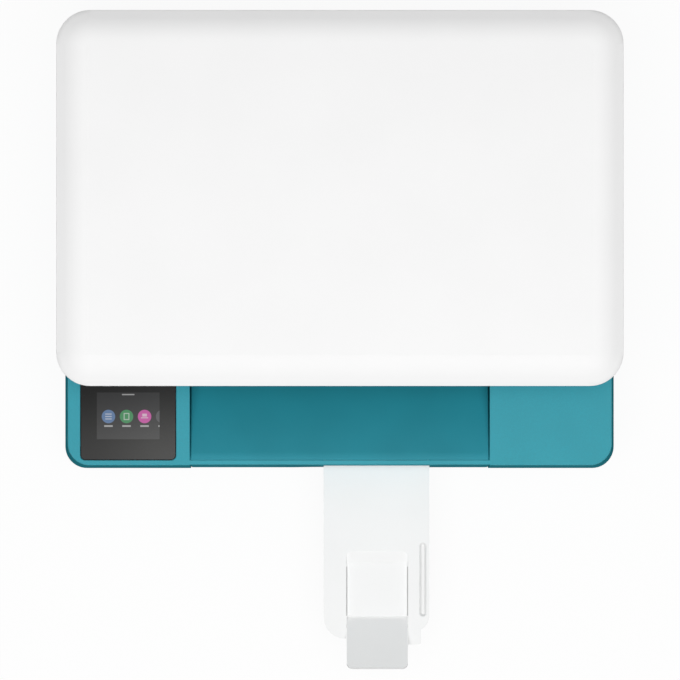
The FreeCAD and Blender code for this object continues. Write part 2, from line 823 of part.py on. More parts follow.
def tray_floor(half):
    """The floor itself: level at the rim, rolling over into the slope, then nearly level to the back."""
    front = SLOPE_TOP_Y - FLOOR_ROLL
    roll_end = SLOPE_TOP_Y + FLOOR_ROLL
    roll = Part.BezierCurve()
    roll.setPoles([point(-half, y, slope_z(y)) for y in (front, SLOPE_TOP_Y, roll_end)])
    top = [point(-half, y, slope_z(y)) for y in (roll_end, SLOPE_END_Y, TRAY_BACK_Y)]
    bottom = [point(-half, y, slope_z(y) - TRAY_THICK) for y in (TRAY_BACK_Y, SLOPE_END_Y, SLOPE_TOP_Y, front)]
    outline = top + bottom + [point(-half, front, slope_z(front))]
    edges = [roll.toShape()] + [Part.makeLine(a, b) for a, b in zip(outline, outline[1:])]
    return Part.Face(Part.Wire(edges)).extrude(point(2 * half, 0, 0))


def output_tray():
    """The floor of the output well, rising to the front, with the extender's rails hanging under it."""
    half = WELL_HALF - WELL_GAP
    pieces = [tray_floor(half)]
    ledge_top = EXT_BOTTOM - LOOSE_GAP
    rail_front = RIM_BACK + OVERCUT
    web = [(rail_front, EXT_RAIL_BOTTOM), (EXT_RAIL_BACK, EXT_RAIL_BOTTOM)]
    web += [(y, slope_z(y) - TRAY_THICK / 2) for y in (EXT_RAIL_BACK, SLOPE_END_Y, rail_front)]
    left = EXT_LEFT - EXT_SIDE_GAP
    right = EXT_RIGHT + EXT_SIDE_GAP
    pieces.append(side_extrusion(web, left - WALL, left))
    pieces.append(side_extrusion(web, right, right + WALL))
    for x0, x1 in ((left - WALL, left + EXT_LEDGE), (right - EXT_LEDGE, right + WALL)):
        pieces.append(block(x0, x1, rail_front, EXT_RAIL_BACK, EXT_RAIL_BOTTOM, ledge_top))
    for side in (-1, 1):
        x0, x1 = side_pair(side, half - OVERCUT, WELL_HALF)
        pieces.append(block(x0, x1, TRAY_LUG_FRONT, TRAY_LUG_BACK, TRAY_LUG_BOTTOM, TRAY_LUG_TOP))
    return joined(pieces)


# Control panel


def screen_lens():
    return plan_block(LENS_LEFT, LENS_RIGHT, LENS_FRONT, LENS_BACK, DECK_Z - LENS_SEAT, DECK_Z + LENS_PROUD,
                      (LENS_CORNER,) * 4)


def display_module():
    top = DECK_Z - LENS_SEAT
    return block(DISPLAY_X - DISPLAY_WIDTH / 2, DISPLAY_X + DISPLAY_WIDTH / 2, DISPLAY_Y - DISPLAY_DEPTH / 2,
                 DISPLAY_Y + DISPLAY_DEPTH / 2, top - DISPLAY_THICK, top)


# Electrics


def main_board():
    """The circuit board on four posts, with its chips."""
    bottom = USB_Z - BOARD_THICK
    pieces = [block(BOARD_LEFT, BOARD_RIGHT, BOARD_FRONT, BOARD_BACK, bottom, USB_Z)]
    for x in (BOARD_LEFT + BOARD_POST_INSET, BOARD_RIGHT - BOARD_POST_INSET):
        for y in (BOARD_FRONT + BOARD_POST_INSET, BOARD_BACK - BOARD_POST_INSET):
            pieces.append(rod_z(x, y, PAN_TOP, bottom, BOARD_POST_RADIUS))
    for n in range(CHIPS):
        x = CHIP_LEFT + n * CHIP_PITCH
        pieces.append(block(x, x + CHIP_SIDE, CHIP_FRONT, CHIP_FRONT + CHIP_SIDE, USB_Z, USB_Z + CHIP_HEIGHT))
    return joined(pieces)


def usb_port():
    """A square-bodied B socket: a metal shell with its opening to the rear and the contact tongue in it."""
    shell = block(USB_X - USB_HALF, USB_X + USB_HALF, USB_INNER_Y, BODY_BACK + CONNECTOR_PROUD, USB_Z,
                  USB_Z + USB_HEIGHT)
    socket = block(USB_X - USB_SOCKET_HALF, USB_X + USB_SOCKET_HALF, USB_SOCKET_INNER_Y, BODY_BACK + OVERCUT,
                   USB_Z + USB_SOCKET_BOTTOM, USB_Z + USB_SOCKET_TOP)
    tongue = block(USB_X - USB_TONGUE_HALF, USB_X + USB_TONGUE_HALF, USB_SOCKET_INNER_Y - OVERCUT,
                   BODY_BACK - PIN_SETBACK, USB_Z + USB_TONGUE_BOTTOM, USB_Z + USB_TONGUE_TOP)
    return joined([shell.cut(socket), tongue])


def power_supply():
    """The closed supply box, with a row of vent slots in its top."""
    box = block(SUPPLY_LEFT, SUPPLY_RIGHT, SUPPLY_FRONT, SUPPLY_BACK, PAN_TOP, SUPPLY_TOP)
    vents = []
    for n in range(VENTS):
        x = VENT_LEFT + n * VENT_PITCH
        vents.append(block(x, x + VENT_WIDTH, SUPPLY_FRONT + VENT_INSET, SUPPLY_BACK - VENT_INSET,
                           SUPPLY_TOP - VENT_DEPTH, SUPPLY_TOP + OVERCUT))
    return without(box, vents)


def power_inlet():
    """A two-pin mains inlet set into the rear wall, with two round pin wells joined by a waist."""
    outside = BODY_BACK + OVERCUT
    body = block(INLET_X - INLET_HALF_WIDTH, INLET_X + INLET_HALF_WIDTH, INLET_INNER_Y,
                 BODY_BACK + CONNECTOR_PROUD, INLET_Z - INLET_HALF_HEIGHT, INLET_Z + INLET_HALF_HEIGHT)
    wells = [block(INLET_X - INLET_PIN_X, INLET_X + INLET_PIN_X, INLET_WELL_INNER_Y, outside,
                   INLET_Z - INLET_WAIST_HALF, INLET_Z + INLET_WAIST_HALF)]
    pins = []
    for x in (INLET_X - INLET_PIN_X, INLET_X + INLET_PIN_X):
        wells.append(rod_y(x, INLET_WELL_INNER_Y, outside, INLET_Z, INLET_WELL_RADIUS))
        pins.append(rod_y(x, INLET_WELL_INNER_Y - OVERCUT, BODY_BACK - PIN_SETBACK, INLET_Z,
                          INLET_PIN_RADIUS))
    return joined([without(body, wells)] + pins)


def power_button():
    """A round push button through the rear wall, kept in by a collar behind the wall."""
    inner = BODY_BACK - BUTTON_DEPTH
    outer = BODY_BACK + BUTTON_PROUD
    cap = rod_y(BUTTON_X, inner, outer, BUTTON_Z, BUTTON_RADIUS)
    cap = bevelled(cap, BUTTON_EDGE, lambda box: abs(box.YMin - outer) < TOLERANCE)
    collar = rod_y(BUTTON_X, inner, BODY_BACK - WALL - SLIDE_GAP, BUTTON_Z, BUTTON_RADIUS + BUTTON_COLLAR)
    return joined([cap, collar])


# Output extender


def extender_plate():
    """The extender's flat: round left corner, shouldered right corner and a notch between the two forks."""
    z = EXT_BOTTOM
    inset = EXT_CORNER * ARC_MIDDLE
    corner_start = point(EXT_LEFT, EXT_FRONT_LEFT + EXT_CORNER, z)
    corner_mid = point(EXT_LEFT + inset, EXT_FRONT_LEFT + inset, z)
    corner_end = point(EXT_LEFT + EXT_CORNER, EXT_FRONT_LEFT, z)
    shoulder = point(EXT_RIGHT, EXT_SHOULDER_Y, z)
    shoulder_mid = point(EXT_RIGHT - EXT_SHOULDER_BULGE[0], EXT_SHOULDER_Y - EXT_SHOULDER_BULGE[1], z)
    shoulder_end = point(EXT_TAB_RIGHT, EXT_SHOULDER_Y - EXT_SHOULDER_RUN, z)
    tip_inset = EXT_TAB_TIP * ARC_MIDDLE
    tab_side = point(EXT_TAB_RIGHT, EXT_FRONT_RIGHT + EXT_TAB_TIP, z)
    tab_mid = point(EXT_TAB_RIGHT - tip_inset, EXT_FRONT_RIGHT + tip_inset, z)
    tab_end = point(EXT_TAB_RIGHT - EXT_TAB_TIP, EXT_FRONT_RIGHT, z)
    forks = [corner_end, point(POCKET_LEFT, EXT_FRONT_LEFT, z), point(POCKET_LEFT, NOTCH_REAR, z),
             point(POCKET_RIGHT, NOTCH_REAR, z), point(POCKET_RIGHT, EXT_FRONT_RIGHT, z), tab_end]
    edges = [Part.makeLine(a, b) for a, b in zip(forks, forks[1:])]
    edges.append(Part.Arc(tab_end, tab_mid, tab_side).toShape())
    edges.append(Part.makeLine(tab_side, shoulder_end))
    edges.append(Part.Arc(shoulder_end, shoulder_mid, shoulder).toShape())
    sides = [shoulder, point(EXT_RIGHT, EXT_REAR, z), point(EXT_LEFT, EXT_REAR, z), corner_start]
    edges += [Part.makeLine(a, b) for a, b in zip(sides, sides[1:])]
    edges.append(Part.Arc(corner_start, corner_mid, corner_end).toShape())
    return Part.Face(Part.Wire(edges)).extrude(point(0, 0, EXT_TOP - EXT_BOTTOM))


def finger_groove():
    """The hollow of the groove beside the pocket, with sides that slope to a narrow floor."""
    outlines = []
    for half, z in ((GROOVE_FLOOR_WIDTH / 2, EXT_TOP - GROOVE_DEPTH), (GROOVE_WIDTH / 2, EXT_TOP)):
        inset = GROOVE_WIDTH / 2 - half
        outlines.append(plan_wire(GROOVE_X - half, GROOVE_X + half, GROOVE_FRONT + inset, GROOVE_REAR - inset,
                                  z, (half - END_FLAT,) * 4))
    return Part.makeLoft(outlines, True, True)


def tray_extender():
    """The pull-out support: a forked plate with a pocket for its hinged paper stop and a finger groove."""
    above = EXT_TOP + OVERCUT
    pocket = plan_block(POCKET_LEFT, POCKET_RIGHT, NOTCH_REAR - OVERCUT, POCKET_REAR, POCKET_FLOOR, above,
                        (0, 0, POCKET_CORNER, POCKET_CORNER))
    ramp_foot = POCKET_FLOOR - OVERCUT
    ramp_top = EXT_TOP - POCKET_LIP
    ramp_outline = [(POCKET_REAR + OVERCUT, ramp_foot), (POCKET_REAR + OVERCUT, ramp_top),
                    (POCKET_REAR, ramp_top), (POCKET_REAR - POCKET_RAMP, ramp_foot)]
    ramp = side_extrusion(ramp_outline, POCKET_LEFT - OVERCUT, POCKET_RIGHT + OVERCUT)
    reliefs = []
    for x0, x1 in ((POCKET_LEFT, POCKET_LEFT + POCKET_RELIEF), (POCKET_RIGHT - POCKET_RELIEF, POCKET_RIGHT)):
        reliefs.append(block(x0, x1, NOTCH_REAR - OVERCUT, POCKET_REAR - POCKET_RAMP,
                             POCKET_FLOOR - POCKET_RELIEF_DEPTH, above))
    reach = FLAP_PIN_LENGTH + SLIDE_GAP
    pin_hole = rod_x(POCKET_LEFT - reach, POCKET_RIGHT + reach, (FLAP_AXIS_Y, FLAP_AXIS_Z),
                     FLAP_PIN_RADIUS + RUNNING_FIT)
    return without(extender_plate(), [pocket.cut(ramp), finger_groove(), pin_hole] + reliefs)


def stop_flap():
    """The paper stop, drawn lying back in its pocket along +Y and then swung up to the front."""
    x0 = POCKET_LEFT + FLAP_SIDE_GAP
    x1 = POCKET_RIGHT - FLAP_SIDE_GAP
    y = FLAP_AXIS_Y
    z = FLAP_AXIS_Z
    half = FLAP_THICK / 2
    leaf = plan_block(x0, x1, y - FLAP_TAIL, y + FLAP_LENGTH, z - half, z + half,
                      (FLAP_TAIL_CORNER, FLAP_TAIL_CORNER, FLAP_CORNER, FLAP_CORNER))
    pins = [rod_x(x0 - FLAP_PIN_LENGTH, x0 + OVERCUT, (y, z), FLAP_PIN_RADIUS),
            rod_x(x1 - OVERCUT, x1 + FLAP_PIN_LENGTH, (y, z), FLAP_PIN_RADIUS)]
    flap = joined([leaf] + pins)
    flap.rotate(point(0, y, z), point(1, 0, 0), 180 - FLAP_TILT)
    return flap


# Paper drawer


def drawer_tray():
    """The open paper tray: floor, low rear wall with a gap for the pick arm, sides, front wall and skids."""
    front = RIM_FRONT + DRAWER_FRONT_DEPTH
    half = DRAWER_HALF
    pieces = [block(-half, half, front, DRAWER_BACK, DRAWER_BOTTOM, DRAWER_FLOOR),
              block(-half, half, front, front + WALL, DRAWER_BOTTOM, DRAWER_FRONT_TOP - WALL),
              block(-half, half, DRAWER_BACK - WALL, DRAWER_BACK, DRAWER_BOTTOM, DRAWER_REAR_WALL_TOP)]
    for side in (-1, 1):
        x0, x1 = side_pair(side, half - WALL, half)
        pieces.append(block(x0, x1, front, DRAWER_BACK, DRAWER_BOTTOM, DRAWER_WALL_TOP))
        x0, x1 = side_pair(side, SKID_X - SKID_HALF, SKID_X + SKID_HALF)
        pieces.append(block(x0, x1, front, DRAWER_BACK, PAN_TOP + SLIDE_GAP, DRAWER_BOTTOM))
    pieces.append(rod_z(0, GUIDE_Y, DRAWER_FLOOR, RACK_TOP, PINION_POST))
    pick_notch = block(-PICK_NOTCH_HALF, PICK_NOTCH_HALF, DRAWER_BACK - 2 * WALL, DRAWER_BACK + WALL,
                       DRAWER_FLOOR, DRAWER_WALL_TOP)
    return joined(pieces).cut(pick_notch)


def drawer_front():
    """The drawer's front cap: a face with turned-back edges, a finger arch and a pocket behind the arch."""
    half = WELL_HALF - DRAWER_SIDE_GAP
    back = RIM_FRONT + DRAWER_FRONT_DEPTH

    def behind_face(depth, y1, top, x):
        outline = [(rim_front(DRAWER_BOTTOM) + depth, DRAWER_BOTTOM), (rim_front(top) + depth, top), (y1, top),
                   (y1, DRAWER_BOTTOM)]
        return side_extrusion(outline, -x, x)

    def face_top(box):
        return flat_at(box, DRAWER_FRONT_TOP) and box.YMax < RIM_FRONT + WALL

    cap = softened(behind_face(0, back, DRAWER_FRONT_TOP, half), DECK_EDGE, face_top)
    hollow = behind_face(DRAWER_FACE, back, DRAWER_FRONT_TOP - WALL, half - WALL)
    housing = behind_face(DRAWER_FACE / 2, back, PULL_TOP + PULL_WALL, PULL_HALF + PULL_WALL)
    pocket = behind_face(DRAWER_FACE, back - PULL_WALL, PULL_TOP, PULL_HALF)
    arch_z = DRAWER_BOTTOM + PULL_ARCH_HEIGHT - PULL_ARCH_RADIUS
    arch = rod_y(0, rim_front(DRAWER_BOTTOM) - OVERCUT, rim_front(PULL_TOP) + DRAWER_FACE, arch_z,
                 PULL_ARCH_RADIUS)
    return without(joined([cap.cut(hollow), housing]), [pocket, arch])


def rack_strip(x0, x1, pitch_y, towards):
    """A toothed strip whose teeth point along Y towards the pinion, with a tooth at x = 0."""
    pitch = math.pi * PINION_MODULE
    root = pitch_y - towards * TOOTH_ROOT * PINION_MODULE
    tip = pitch_y + towards * TOOTH_TIP * PINION_MODULE
    back = root - towards * RACK_BODY
    outline = [(x0, root)]
    first = math.ceil(x0 / pitch + 0.5)
    last = math.floor(x1 / pitch - 0.5)
    for tooth in range(first, last + 1):
        x = tooth * pitch
        wide = ROOT_SHARE * pitch / 2
        narrow = TIP_SHARE * pitch / 2
        outline += [(x - wide, root), (x - narrow, tip), (x + narrow, tip), (x + wide, root)]
    outline += [(x1, root), (x1, back), (x0, back)]
    points = [point(x, y, RACK_BOTTOM) for x, y in outline]
    face = Part.Face(Part.makePolygon(points + points[:1]))
    return face.extrude(point(0, 0, RACK_TOP - RACK_BOTTOM))


def width_guide(side):
    """One paper side guide: a fence on a short foot, with its rack reaching across the pinion."""
    pitch_y = GUIDE_Y - side * PINION_TEETH * PINION_MODULE / 2
    rack_start, rack_stop = side_pair(side, GUIDE_X - OVERCUT, -RACK_OVERRUN)
    rack = rack_strip(rack_start, rack_stop, pitch_y, side)
    fence_bottom = RACK_TOP + FENCE_LIFT
    x0, x1 = side_pair(side, GUIDE_X, GUIDE_X + FENCE_THICK)
    fence = block(x0, x1, GUIDE_Y - GUIDE_LENGTH / 2, GUIDE_Y + GUIDE_LENGTH / 2, fence_bottom, GUIDE_TOP)

    def top_corner(box):
        return box.XLength > OVERCUT and box.YLength < TOLERANCE and box.ZMin > GUIDE_TOP - OVERCUT

    fence = softened(fence, FENCE_CORNER, top_corner)
    foot_y = sorted((pitch_y - side * TOOTH_ROOT, pitch_y - side * (TOOTH_ROOT + RACK_BODY)))
    x0, x1 = side_pair(side, GUIDE_X - FENCE_THICK, GUIDE_X + FENCE_THICK)
    foot = block(x0, x1, foot_y[0], foot_y[1], RACK_BOTTOM, fence_bottom + OVERCUT)
    return joined([fence, foot, rack])


def guide_pinion():
    half_pitch = math.pi / PINION_TEETH
    bore = PINION_POST + RUNNING_FIT
    wheel = gear_disc(PINION_TEETH, PINION_MODULE, RACK_TOP - RACK_BOTTOM, bore, half_pitch)
    wheel.translate(point(0, GUIDE_Y, RACK_BOTTOM))
    return wheel


def length_guide():
    """The paper's end stop: a fence on a sliding foot, stiffened by two ribs."""
    front = RIM_FRONT + DRAWER_FRONT_DEPTH + WALL + STOP_GAP
    fence = block(-STOP_HALF, STOP_HALF, front, front + WALL, RACK_BOTTOM, GUIDE_TOP)

    def top_corner(box):
        return box.YLength > OVERCUT and box.XLength < TOLERANCE and box.ZMin > GUIDE_TOP - OVERCUT

    fence = softened(fence, FENCE_CORNER, top_corner)
    pieces = [fence]
    pieces.append(block(-STOP_FOOT_HALF, STOP_FOOT_HALF, front, front + STOP_FOOT_LENGTH, RACK_BOTTOM,
                        RACK_TOP))
    for x in (-STOP_RIB_X, STOP_RIB_X):
        pieces.append(block(x - STOP_RIB_HALF, x + STOP_RIB_HALF, front, front + STOP_RIB_LENGTH, RACK_BOTTOM,
                            STOP_RIB_TOP))
    return joined(pieces)


# Paper path


def roller_frame():
    """Two sheet sides that carry the rollers, and the plate behind the gears with the idler's stud."""
    plates = []
    for x in (-PLATE_INNER_X - PLATE_THICK, PLATE_INNER_X):
        plate = side_extrusion(PLATE_OUTLINE, x, x + PLATE_THICK)
        plates.append(without(plate, [plate_hole(x, PLATE_HOLE, PLATE_HOLE_RADIUS)] + shaft_holes(x)))
    gear_plate = side_extrusion(GEAR_PLATE_OUTLINE, GEAR_PLATE_X, GEAR_PLATE_X + PLATE_THICK)
    feed_hole, exit_hole, _ = shaft_holes(GEAR_PLATE_X)
    motor_hole = plate_hole(GEAR_PLATE_X, motor_axis(), MOTOR_BOSS + MOTOR_BOSS_GAP)
    gear_plate = without(gear_plate, [feed_hole, exit_hole, motor_hole])
    idler_stud = rod_x(GEAR_LEFT - STUD_OVERHANG, GEAR_PLATE_X, idler_axis(), STUD_RADIUS)
    plates.append(joined([gear_plate, idler_stud]))
    return Part.makeCompound(plates)


def plate_hole(x, axis, radius):
    """A round hole through a sheet plate that starts at x."""
    return rod_x(x - OVERCUT, x + PLATE_THICK + OVERCUT, axis, radius)


def shaft_holes(x):
    """Bearing holes for the feed, exit and pick shafts through a sheet plate that starts at x."""
    return [plate_hole(x, FEED_AXIS, FEED_SHAFT_RADIUS + RUNNING_FIT),
            plate_hole(x, EXIT_AXIS, EXIT_SHAFT_RADIUS + RUNNING_FIT),
            plate_hole(x, PICK_PIVOT, PICK_SHAFT_RADIUS + PRESS_FIT)]


def feed_shaft():
    return rod_x(SHAFT_LEFT, SHAFT_RIGHT, FEED_AXIS, FEED_SHAFT_RADIUS)


def feed_rollers():
    """Rubber sleeves on the feed shaft."""
    sleeves = []
    for n in range(SLEEVE_COUNT):
        x = SLEEVE_START + n * SLEEVE_PITCH
        sleeve = rod_x(x, x + SLEEVE_LENGTH, FEED_AXIS, FEED_RADIUS)
        sleeves.append(sleeve.cut(feed_shaft()))
    return Part.makeCompound(sleeves)


def feed_gear():
    disc = gear_disc(FEED_TEETH, GEAR_MODULE, GEAR_WIDTH, FEED_SHAFT_RADIUS, 0)
    return turned_to_x(disc, GEAR_LEFT, FEED_AXIS)


def exit_roller():
    """The exit shaft, with one tyre under each star wheel."""
    shaft = rod_x(SHAFT_LEFT, SHAFT_RIGHT, EXIT_AXIS, EXIT_SHAFT_RADIUS)
    tyres = [rod_x(x - TYRE_HALF, x + TYRE_HALF, EXIT_AXIS, EXIT_RADIUS) for x in STAR_PLACES]
    return joined([shaft] + tyres)


def idler_phase():
    direction = bearing(FEED_AXIS, idler_axis())
    return mesh_phase(0, FEED_TEETH, IDLER_TEETH, direction)


def idler_gear():
    disc = gear_disc(IDLER_TEETH, GEAR_MODULE, GEAR_WIDTH, STUD_RADIUS + RUNNING_FIT, idler_phase())
    return turned_to_x(disc, GEAR_LEFT, idler_axis())


def exit_gear():
    direction = bearing(idler_axis(), EXIT_AXIS)
    phase = mesh_phase(idler_phase(), IDLER_TEETH, EXIT_TEETH, direction)
    disc = gear_disc(EXIT_TEETH, GEAR_MODULE, GEAR_WIDTH, EXIT_SHAFT_RADIUS, phase)
    return turned_to_x(disc, GEAR_LEFT, EXIT_AXIS)


def motor_pinion():
    direction = bearing(FEED_AXIS, motor_axis())
    phase = mesh_phase(0, FEED_TEETH, MOTOR_TEETH, direction)
    disc = gear_disc(MOTOR_TEETH, GEAR_MODULE, GEAR_WIDTH, MOTOR_SHAFT_RADIUS + RUNNING_FIT, phase)
    return turned_to_x(disc, GEAR_LEFT, motor_axis())


def feed_motor():
    """The feed motor on the gear plate: can, boss and shaft."""
    face_x = GEAR_PLATE_X + PLATE_THICK
    end_x = face_x + MOTOR_LENGTH
    can = rod_x(face_x, end_x, motor_axis(), MOTOR_RADIUS)
    can = bevelled(can, MOTOR_EDGE, lambda box: abs(box.XMin - end_x) < TOLERANCE)
    boss = rod_x(GEAR_PLATE_X + SNUG_GAP, face_x, motor_axis(), MOTOR_BOSS)
    shaft = rod_x(GEAR_LEFT - STUD_OVERHANG, face_x, motor_axis(), MOTOR_SHAFT_RADIUS)
    return joined([can, boss, shaft])


def pinch_rollers():
    """Free rollers that press the sheet on the feed sleeves."""
    rollers = []
    for x in PINCH_PLACES:
        wheel = rod_x(x - PINCH_HALF, x + PINCH_HALF, PINCH_AXIS, PINCH_RADIUS)
        axle = rod_x(x - PINCH_AXLE_HALF, x + PINCH_AXLE_HALF, PINCH_AXIS, AXLE_RADIUS)
        rollers.append(joined([wheel, axle]))
    return Part.makeCompound(rollers)


def star_wheels():
    """Thin pointed wheels on one wire axle, which touch the wet print only at their points."""
    outline = []
    for n in range(2 * STAR_POINTS):
        radius = STAR_RADIUS if n % 2 == 0 else STAR_RADIUS - STAR_NOTCH
        angle = math.pi * n / STAR_POINTS
        outline.append(point(radius * math.cos(angle), radius * math.sin(angle), 0))
    star = Part.Face(Part.makePolygon(outline + outline[:1])).extrude(point(0, 0, STAR_THICK))
    wheels = [turned_to_x(star, x - STAR_THICK / 2, STAR_AXIS) for x in STAR_PLACES]
    axle = rod_x(-STAR_AXLE_HALF, STAR_AXLE_HALF, STAR_AXIS, AXLE_RADIUS)
    return joined([axle] + wheels)


def roller_holder(bar, arm, arm_places, axis):
    """A bar across the paper, with arms bored for the axle of the small rollers."""
    reach = PLATE_INNER_X
    pieces = [block(-reach, reach, *bar)]
    for x in arm_places:
        pieces.append(block(x - HOLDER_ARM_THICK / 2, x + HOLDER_ARM_THICK / 2, *arm))
    return joined(pieces).cut(rod_x(-reach, reach, axis, AXLE_RADIUS + RUNNING_FIT))


def roller_holders():
    """The two bars over the paper that carry the pinch rollers and the star wheels."""
    offset = PINCH_ARM_INNER + HOLDER_ARM_THICK / 2
    pinch_arms = [x + side * offset for x in PINCH_PLACES for side in (-1, 1)]
    pinch_holder = roller_holder(PINCH_BAR, PINCH_ARM, pinch_arms, PINCH_AXIS)
    star_holder = roller_holder(STAR_BAR, STAR_ARM, STAR_ARM_PLACES, STAR_AXIS)
    return Part.makeCompound([pinch_holder, star_holder])


def platen():
    """The ribbed bed that holds the sheet flat under the print heads."""
    pieces = [block(-PLATE_INNER_X, PLATE_INNER_X, PLATEN_FRONT, PLATEN_BACK, PLATEN_BOTTOM, PLATEN_TOP)]
    for n in range(PLATEN_RIBS):
        x = (n - (PLATEN_RIBS - 1) / 2) * PLATEN_RIB_PITCH
        pieces.append(block(x - PLATEN_RIB_HALF, x + PLATEN_RIB_HALF, PLATEN_FRONT, PLATEN_BACK, PLATEN_TOP,
                            PLATEN_RIB_TOP))
    return joined(pieces)


def pick_shaft():
    end = PLATE_INNER_X + PLATE_THICK
    return rod_x(-end, end, PICK_PIVOT, PICK_SHAFT_RADIUS)


def pick_arm():
    """The swinging arm that lets the pick roller rest on the paper stack."""
    py, pz = PICK_PIVOT
    ry, rz = PICK_AXIS
    length = math.hypot(ry - py, rz - pz)
    ny = -(rz - pz) / length
    nz = (ry - py) / length
    near = PICK_ARM_NEAR
    far = PICK_ARM_FAR
    outline = [(py + near * ny, pz + near * nz), (ry + far * ny, rz + far * nz),
               (ry - far * ny, rz - far * nz), (py - near * ny, pz - near * nz)]
    pieces = [side_extrusion(outline, -PICK_ARM_HALF, PICK_ARM_HALF)]
    pieces.append(rod_x(-PICK_HUB_HALF, PICK_HUB_HALF, PICK_PIVOT, PICK_HUB_RADIUS))
    pieces.append(rod_x(-PICK_ARM_HALF, PICK_ARM_HALF, PICK_AXIS, PICK_END_RADIUS))
    pieces.append(rod_x(-PICK_AXLE_HALF, PICK_AXLE_HALF, PICK_AXIS, PICK_AXLE_RADIUS))
    bore = rod_x(-PICK_HUB_HALF, PICK_HUB_HALF, PICK_PIVOT, PICK_SHAFT_RADIUS + RUNNING_FIT)
    return joined(pieces).cut(bore)


def pick_roller():
    """Two rubber tyres on the axle at the arm's end."""
    axle = rod_x(-PICK_AXLE_HALF, PICK_AXLE_HALF, PICK_AXIS, PICK_AXLE_RADIUS + RUNNING_FIT)
    tyres = []
    for side in (-1, 1):
        x0, x1 = side_pair(side, PICK_TYRE_INNER, PICK_TYRE_INNER + PICK_TYRE_WIDTH)
        tyres.append(rod_x(x0, x1, PICK_AXIS, PICK_RADIUS).cut(axle))
    return Part.makeCompound(tyres)


def turn_guide():
    """The curved rear guide that turns the sheet over, on two legs, with its flat lead to the feed roller."""
    y, z = TURN_CENTRE
    half = TURN_HALF
    outer_radius = TURN_RADIUS + TURN_WALL
    reach = 2 * TURN_RADIUS
    ring = rod_x(-half, half, TURN_CENTRE, outer_radius)
    sector = [(y, z), (y + reach, z - reach), (y + reach, z + reach), (y, z + reach)]
    keep = side_extrusion(sector, -half, half)
    top = z + TURN_RADIUS
    pieces = [ring.common(keep), block(-half, half, TURN_LEAD_FRONT, y, top, top + TURN_LEAD_THICK)]
    for side in (-1, 1):
        x0, x1 = side_pair(side, half - TURN_LEG_WIDTH, half)
        pieces.append(block(x0, x1, y + TURN_LEG_FRONT, y + outer_radius - OVERCUT, PAN_TOP,
                            z - TURN_LEG_DROP))
    return joined(pieces).cut(rod_x(-half, half, TURN_CENTRE, TURN_RADIUS))


# Print carriage


def rail_frame():
    """The bent sheet portal behind the carriage, with rod cheeks, a motor shelf and an idler shelf."""
    back = RAIL_Y + RAIL_THICK
    pieces = [block(-RAIL_END, RAIL_END, RAIL_Y, back, RAIL_BOTTOM, RAIL_TOP),
              block(-RAIL_END, RAIL_END, RAIL_Y - RAIL_LIP, back, RAIL_TOP - RAIL_LIP_THICK, RAIL_TOP)]
    for side in (-1, 1):
        x0, x1 = side_pair(side, RAIL_LEG_IN, RAIL_END)
        pieces.append(block(x0, x1, RAIL_Y, back, PAN_TOP, RAIL_BOTTOM))
        x0, x1 = side_pair(side, RAIL_SHELF_IN, RAIL_END)
        pieces.append(block(x0, x1, CARRIAGE_BACK + OVERCUT, back, RAIL_SHELF_BOTTOM, RAIL_SHELF_TOP))
        x0, x1 = side_pair(side, RAIL_END - RAIL_CHEEK_THICK, RAIL_END)
        pieces.append(block(x0, x1, RAIL_CHEEK_FRONT, back, RAIL_BOTTOM, RAIL_TOP))
    pieces.append(rod_z(PULLEY_X, PULLEY_Y, RAIL_SHELF_TOP, SPINDLE_TOP, MOTOR_SHAFT_RADIUS))
    rod_hole = rod_x(-RAIL_END, RAIL_END, ROD_AXIS, ROD_RADIUS + PRESS_FIT)
    motor_hole = rod_z(-PULLEY_X, PULLEY_Y, RAIL_SHELF_BOTTOM, RAIL_SHELF_TOP, BELT_MOTOR_HOLE)
    return without(joined(pieces), [rod_hole, motor_hole])


def carriage_rod():
    return rod_x(-RAIL_END, RAIL_END, ROD_AXIS, ROD_RADIUS)


def carriage_motor():
    """The belt motor under its shelf, with its shaft up through the shelf."""
    can = rod_z(-PULLEY_X, PULLEY_Y, BELT_MOTOR_BOTTOM, RAIL_SHELF_BOTTOM, BELT_MOTOR_RADIUS)
    can = bevelled(can, MOTOR_EDGE, lambda box: flat_at(box, BELT_MOTOR_BOTTOM))
    shaft = rod_z(-PULLEY_X, PULLEY_Y, RAIL_SHELF_BOTTOM, SPINDLE_TOP, MOTOR_SHAFT_RADIUS)
    return joined([can, shaft])


def belt_pulley(x):
    """A smooth pulley with a flange above and below the belt."""
    low = BELT_BOTTOM - PULLEY_SLACK
    high = BELT_TOP + PULLEY_SLACK
    bottom = low - PULLEY_FLANGE_THICK
    top = high + PULLEY_FLANGE_THICK
    wheel = rod_z(x, PULLEY_Y, low, high, BELT_INNER - PULLEY_SLACK)
    lower = rod_z(x, PULLEY_Y, bottom, low, BELT_INNER + PULLEY_FLANGE)
    upper = rod_z(x, PULLEY_Y, high, top, BELT_INNER + PULLEY_FLANGE)
    bore = rod_z(x, PULLEY_Y, bottom, top, MOTOR_SHAFT_RADIUS + RUNNING_FIT)
    return joined([wheel, lower, upper]).cut(bore)


def belt_loop(radius):
    """A solid with the belt's run, at one radius round the pulleys."""
    end = PULLEY_X + radius
    return plan_block(-end, end, PULLEY_Y - radius, PULLEY_Y + radius, BELT_BOTTOM, BELT_TOP,
                      (radius - END_FLAT,) * 4)


def drive_belt():
    return belt_loop(BELT_INNER + BELT_THICK).cut(belt_loop(BELT_INNER))


def encoder_strip():
    end = RAIL_END - RAIL_CHEEK_THICK
    return block(-end, end, STRIP_Y, STRIP_Y + STRIP_THICK, STRIP_BOTTOM, STRIP_TOP)


